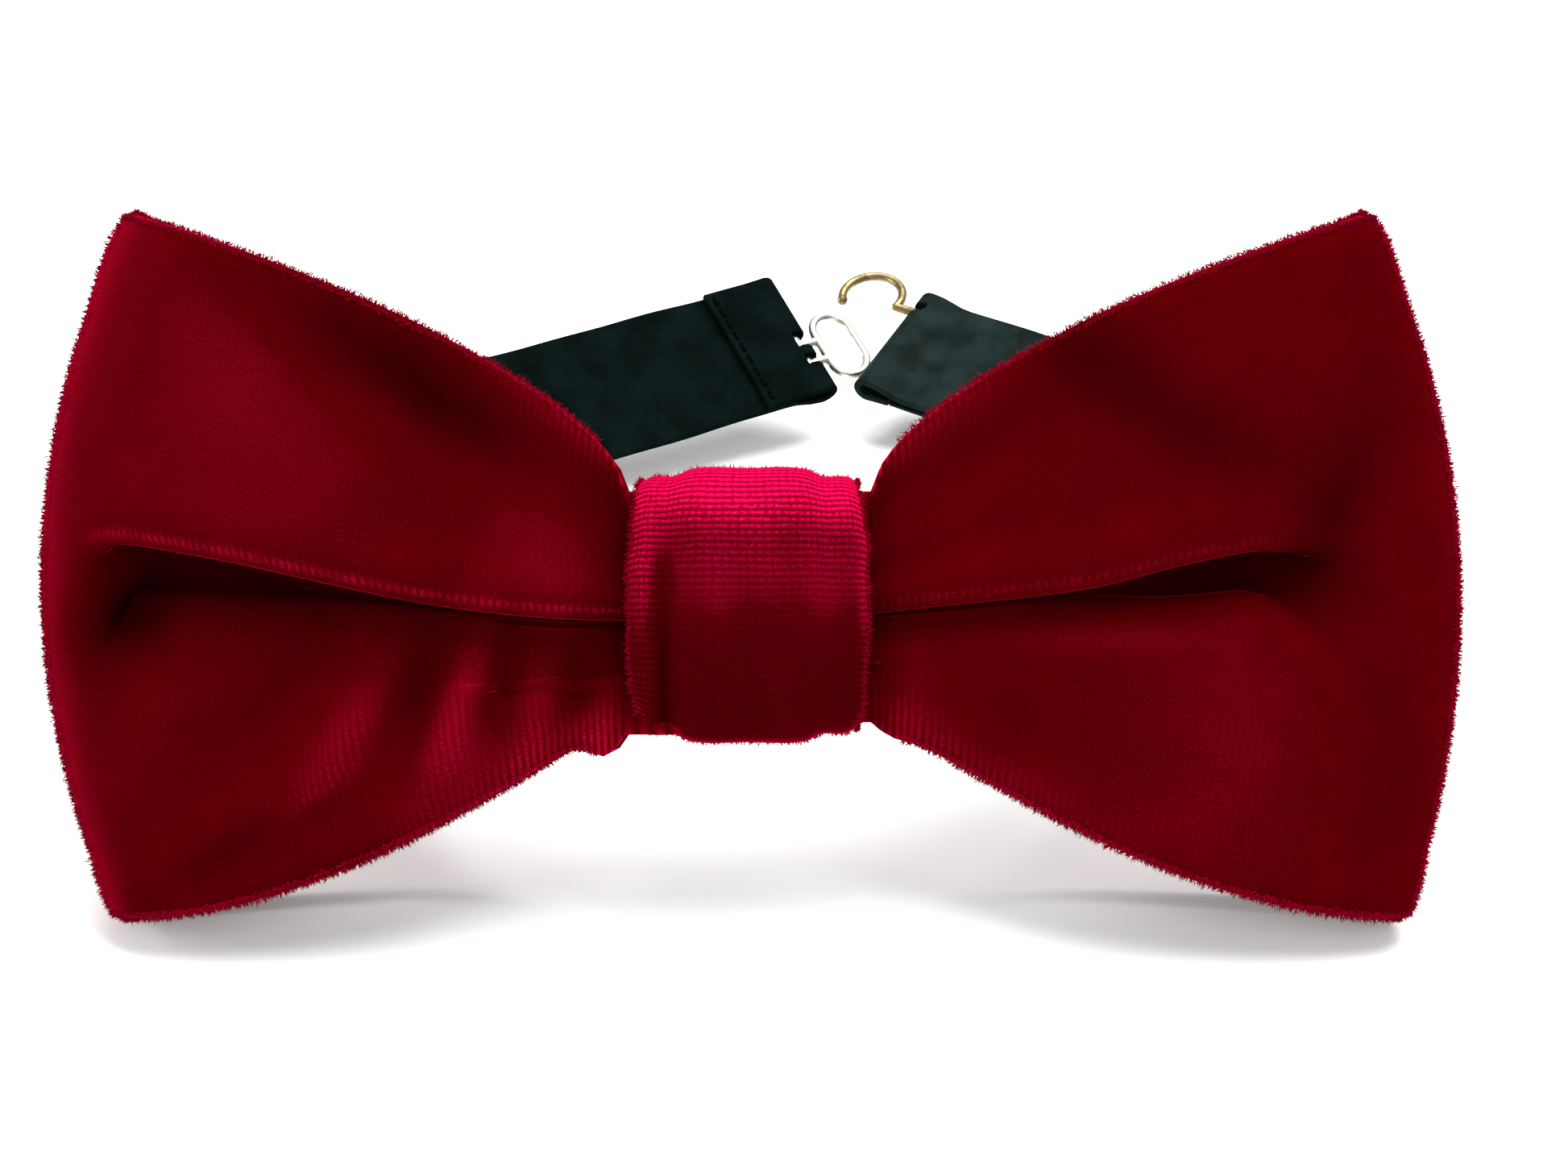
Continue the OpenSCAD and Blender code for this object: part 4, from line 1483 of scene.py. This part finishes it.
        def place(u: Array, v: Array) -> Array:
            """Places the ribbon, from the path's first point to its last."""
            stations, which = np.unique(np.round(u, 6), return_inverse=True)
            s = np.interp(stations, lengths, path[:, 0])
            y = np.interp(stations, lengths, path[:, 1])
            frames = np.array([self.frame_at(max(x, 0.0)) for x in s])[which.reshape(-1)]
            across = (v * 2 - 1) * half_width
            here = s[which.reshape(-1)]
            away = y[which.reshape(-1)]
            slow = np.sin(here * 0.21 + across * 0.13)
            quick = 0.6 * np.sin(here * 0.47 - across * 0.29 + side)
            sway = wobble * (slow + quick)
            quiet = np.clip((self.stops[4] - 4 - here) / 8, 0, 1)
            return (
                frames[:, 0]
                + frames[:, 2] * across[:, None]
                + frames[:, 3] * (away + sway * quiet)[:, None]
            )

        return place


@dataclass
class NeckStrap:
    """The black strap: two sides, a turned hem with the eye, and a running fold with the hook."""

    knot: BowFrame
    thick: float = 0.9
    thin: float = 0.5
    edge_round: float = 0.12
    bar: float = 1.28
    hem: float = 9.0
    slider_at: float = 29.0
    eye_z: float = -2.8
    eye_neck: float = 1.5
    hook_z: float = 6.6
    slit: float = 0.95
    # How far in front of a side's hinge the points that across_bend gives lie
    bend_before: float = 12.5
    bend_after: float = 4.0

    def __post_init__(self) -> None:
        """Sets out both sides."""
        self.left = StrapPath(Side.LEFT, 58.0, 3.0, self.knot)
        self.right = StrapPath(Side.RIGHT, 70.0, 5.0, self.knot)

    @staticmethod
    def arc_points(
        centre: float, radius: float, start: float, end: float, count: int = 14
    ) -> list[tuple[float, float]]:
        """Points of a turn round a bar, in distance along and offset."""
        return [
            (centre + radius * math.cos(math.radians(a)), radius * math.sin(math.radians(a)))
            for a in np.linspace(start, end, count)
        ]

    def strip(
        self,
        name: str,
        path: StrapPath,
        points: Sequence[tuple[float, float]],
        columns: int,
        thick: float,
        slits: Sequence[float] = (),
        held: str = "folded",
        rests_on: Sequence[str] = ("knot_interfacing",),
    ) -> bpy.types.Object:
        """Builds one stretch of the strap.

        Args:
            name: The piece's name.
            path: The side it lies on.
            points: Distances along the strap and offsets through it that it follows.
            columns: Faces along it.
            thick: Its thickness.
            slits: Places across it where a wire comes out of its fold.
            held: How the ribbon is held; not used.
            rests_on: What it hangs from or lies on; not used.

        Returns:
            The finished mesh, not yet riding on a body.
        """
        line = np.array(points)
        length = float(np.hypot(*np.diff(line, axis=0).T).sum())
        half = path.width / 2
        piece = Studio.cloth(name, columns, 26, path.ribbon(line, half - 0.05), (length, path.width))
        if slits:
            places = np.concatenate([[0], np.cumsum(np.hypot(*np.diff(line, axis=0).T))])
            bar_at = path.stops[4] - 0.4

            def opened(centre: Array) -> Array:
                """Picks the faces in the wires' way at the front of the fold."""
                s = np.interp(centre[:, 0], places, line[:, 0])
                across = centre[:, 1] - half
                near = np.zeros(len(centre), bool)
                for place in slits:
                    near |= np.abs(across - place) < self.slit
                return near & (s > bar_at)

            Studio.cut(piece, opened)
        Studio.thicken(piece, thick, inward=False)
        Studio.modify(
            piece,
            "BEVEL",
            width=self.edge_round * MM,
            segments=2,
            limit_method="ANGLE",
            angle_limit=math.radians(60),
        )
        dress(piece, self.finishes[path.side])
        return piece

    def build(self) -> list[bpy.types.Object]:
        """Builds all stretches of the strap.

        Returns:
            The strap's pieces.
        """
        # The right side gets the lit copy of the strap finish, with its painted reflection
        self.finishes = {Side.LEFT: STRAP.build(), Side.RIGHT: LIT_STRAP.build()}
        left, right = self.left, self.right
        end = left.stops[4]
        plain = [(s, 0.0) for s in np.linspace(0, end - 6, 80)]
        sheen_and_painted_highlight = (
            plain
            + [(end - 4.5, 0.12), (end - 3.2, 0.5), (end - 1.9, 0.98)]
            + self.arc_points(end, self.bar, 105, -105)
            + [(end - 1.6, -1.12), (end - 3.0, -1.02), (end - self.hem, -1.0)]
        )
        slits = (self.eye_z - self.eye_neck, self.eye_z + self.eye_neck)
        left_strap = self.strip(
            "strap_left_side", left, sheen_and_painted_highlight, 260, self.thick, slits, "hung", ("knot_interfacing", "eye")
        )
        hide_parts("strap_front", "strap_left", "left_hem")
        self.across_bend(left)
        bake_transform(left_strap)

        end = right.stops[4]
        join = end - self.slider_at
        right_strap = self.strip(
            "strap_right_side", right, [(s, 0.0) for s in np.linspace(0, join + 1, 70)], 190, self.thick
        )
        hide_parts("strap_right")
        self.across_bend(right)
        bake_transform(right_strap)

        fold = (
            [(join + 0.6, 0.0), (end - 5.5, 0.0), (end - 4.2, 0.2), (end - 3.0, 0.62), (end - 1.7, 1.05)]
            + self.arc_points(end, self.bar, 105, -105)
            + [(end - 1.7, -1.15), (end - 3.2, -1.05)]
        )
        running_fold = self.strip(
            "strap_running_fold", right, fold, 90, self.thick, (self.hook_z,), "folded", ("hook", "slider")
        )
        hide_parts("fold_sleeve", "fold_stitches")
        a, b = right.frame_at(join + 8)[0] * MM, right.frame_at(end - 6)[0] * MM
        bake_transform(running_fold)

        loop_r, centre_y = 0.93, -1.93
        loop = [
            (join + loop_r * math.cos(t), centre_y + loop_r * math.sin(t))
            for t in np.linspace(1.4, -4.2, 18)
        ]
        back = [(end - 3.4, -1.05), (join + 3, -1.05), (join + 1.2, centre_y + loop_r), *loop]
        return_run = self.strip("strap_return_run", right, back, 110, self.thin, (), "folded", ("slider",))
        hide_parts("return_layer", "slider_loop")
        a, b = right.frame_at(end - 5)[0] * MM, right.frame_at(join + 3)[0] * MM
        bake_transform(return_run)
        return [left_strap, right_strap, running_fold, return_run]

    def across_bend(self, path: StrapPath) -> dict[str, tuple[float, ...]]:
        """Points before and after a side bend's hinge, for the cloth that crosses it."""
        hinge = path.frame_at(path.stops[3])[0]
        return {
            "start": (hinge[0] * MM, (hinge[1] - self.bend_before) * MM, hinge[2] * MM),
            "end": (hinge[0] * MM, (hinge[1] - self.bend_after) * MM, hinge[2] * MM),
        }


# ---- The set


@dataclass
class PhotoSet:
    """The table, the lights and the camera."""

    knot: BowFrame
    pitch: float = 29.5
    distance: float = 158.62
    right: float = 2.97
    up: float = 1.41
    lens: float = 42.56

    def build(self) -> None:
        """Sets the camera, the pale table and the soft lights."""
        tilt = math.radians(self.pitch)
        forward = Vector((0, math.cos(tilt), -math.sin(tilt)))
        upward = Vector((0, math.sin(tilt), math.cos(tilt)))
        place = self.knot.knot - forward * self.distance + Vector((1, 0, 0)) * self.right + upward * self.up
        camera = bpy.data.objects.new("camera", bpy.data.cameras.new("camera"))
        camera.data.lens = self.lens
        camera.data.clip_start = 0.005
        camera.location = place * MM
        camera.rotation_euler = (math.pi / 2 - tilt, 0, 0)
        bpy.context.scene.collection.objects.link(camera)
        bpy.context.scene.camera = camera
        bpy.context.scene.view_settings.view_transform = "Standard"
        self.table()
        self.lamp("top_softbox", (0.12, 0.14, 0.6), (0, -0.02, 0.0), 0.55, 9.0)
        self.lamp("front_fill", (0.1, -0.6, 0.45), (0, -0.04, 0.02), 0.6, 1.6)
        self.lamp("left_strip", (-0.55, 0.0, 0.15), (0, -0.02, 0.02), 0.3, 2.0)
        world = bpy.data.worlds.new("white_room")
        world.use_nodes = True
        world.node_tree.nodes["Background"].inputs["Color"].default_value = (1, 1, 1, 1)
        world.node_tree.nodes["Background"].inputs["Strength"].default_value = 0.45
        bpy.context.scene.world = world

    def table(self) -> None:
        """Lays the white table under the bow tie."""
        Studio.deselect()
        bpy.ops.mesh.primitive_plane_add(size=6)
        top = Studio.named("table")
        material, g, shader = start_material("white_table")
        at = g.node("ShaderNodeTexCoord").outputs["Object"]
        grain = g.node("ShaderNodeTexNoise", Vector=at, Scale=60.0, Detail=3.0)
        paper = g.blend(grain.outputs["Fac"], (0.93, 0.93, 0.94, 1), (0.96, 0.96, 0.96, 1))
        g.feed(shader.inputs["Base Color"], paper)
        shader.inputs["Roughness"].default_value = 0.6
        shader.inputs["Emission Color"].default_value = (0.98, 1.0, 1.0, 1)
        shader.inputs["Emission Strength"].default_value = 0.1
        dress(top, material)

    @staticmethod
    def lamp(name: str, place: tuple[float, ...], aim: tuple[float, ...], size: float, power: float) -> None:
        """Hangs a soft square lamp, with its place and aim in metres."""
        data = bpy.data.lights.new(name, "AREA")
        data.size = size
        data.energy = power
        lamp = bpy.data.objects.new(name, data)
        lamp.location = place
        lamp.rotation_euler = (Vector(aim) - Vector(place)).to_track_quat("-Z", "Y").to_euler()
        bpy.context.scene.collection.objects.link(lamp)


def dress_fittings() -> None:
    """Gives the CAD nodes that stay their finishes."""
    for name, finish in CARRIED_OVER.items():
        dress(frame["nodes"][name], finish.build())


def main() -> None:
    """Builds the bow tie and its set in order, and reports each piece."""
    logging.basicConfig(level=logging.INFO, format="%(name)s: %(message)s")
    place = BowFrame()
    bow, knot = Bow(place), Knot(place)
    made = [*bow.build(), *knot.build(), *NeckStrap(place).build()]
    made += Pile(place).build(bow, knot, PILE.build())
    for piece in made:
        LOG.info("%s: %d faces", piece.name, len(piece.data.polygons))
    dress_fittings()
    PhotoSet(place).build()


if __name__ == "__main__":
    main()
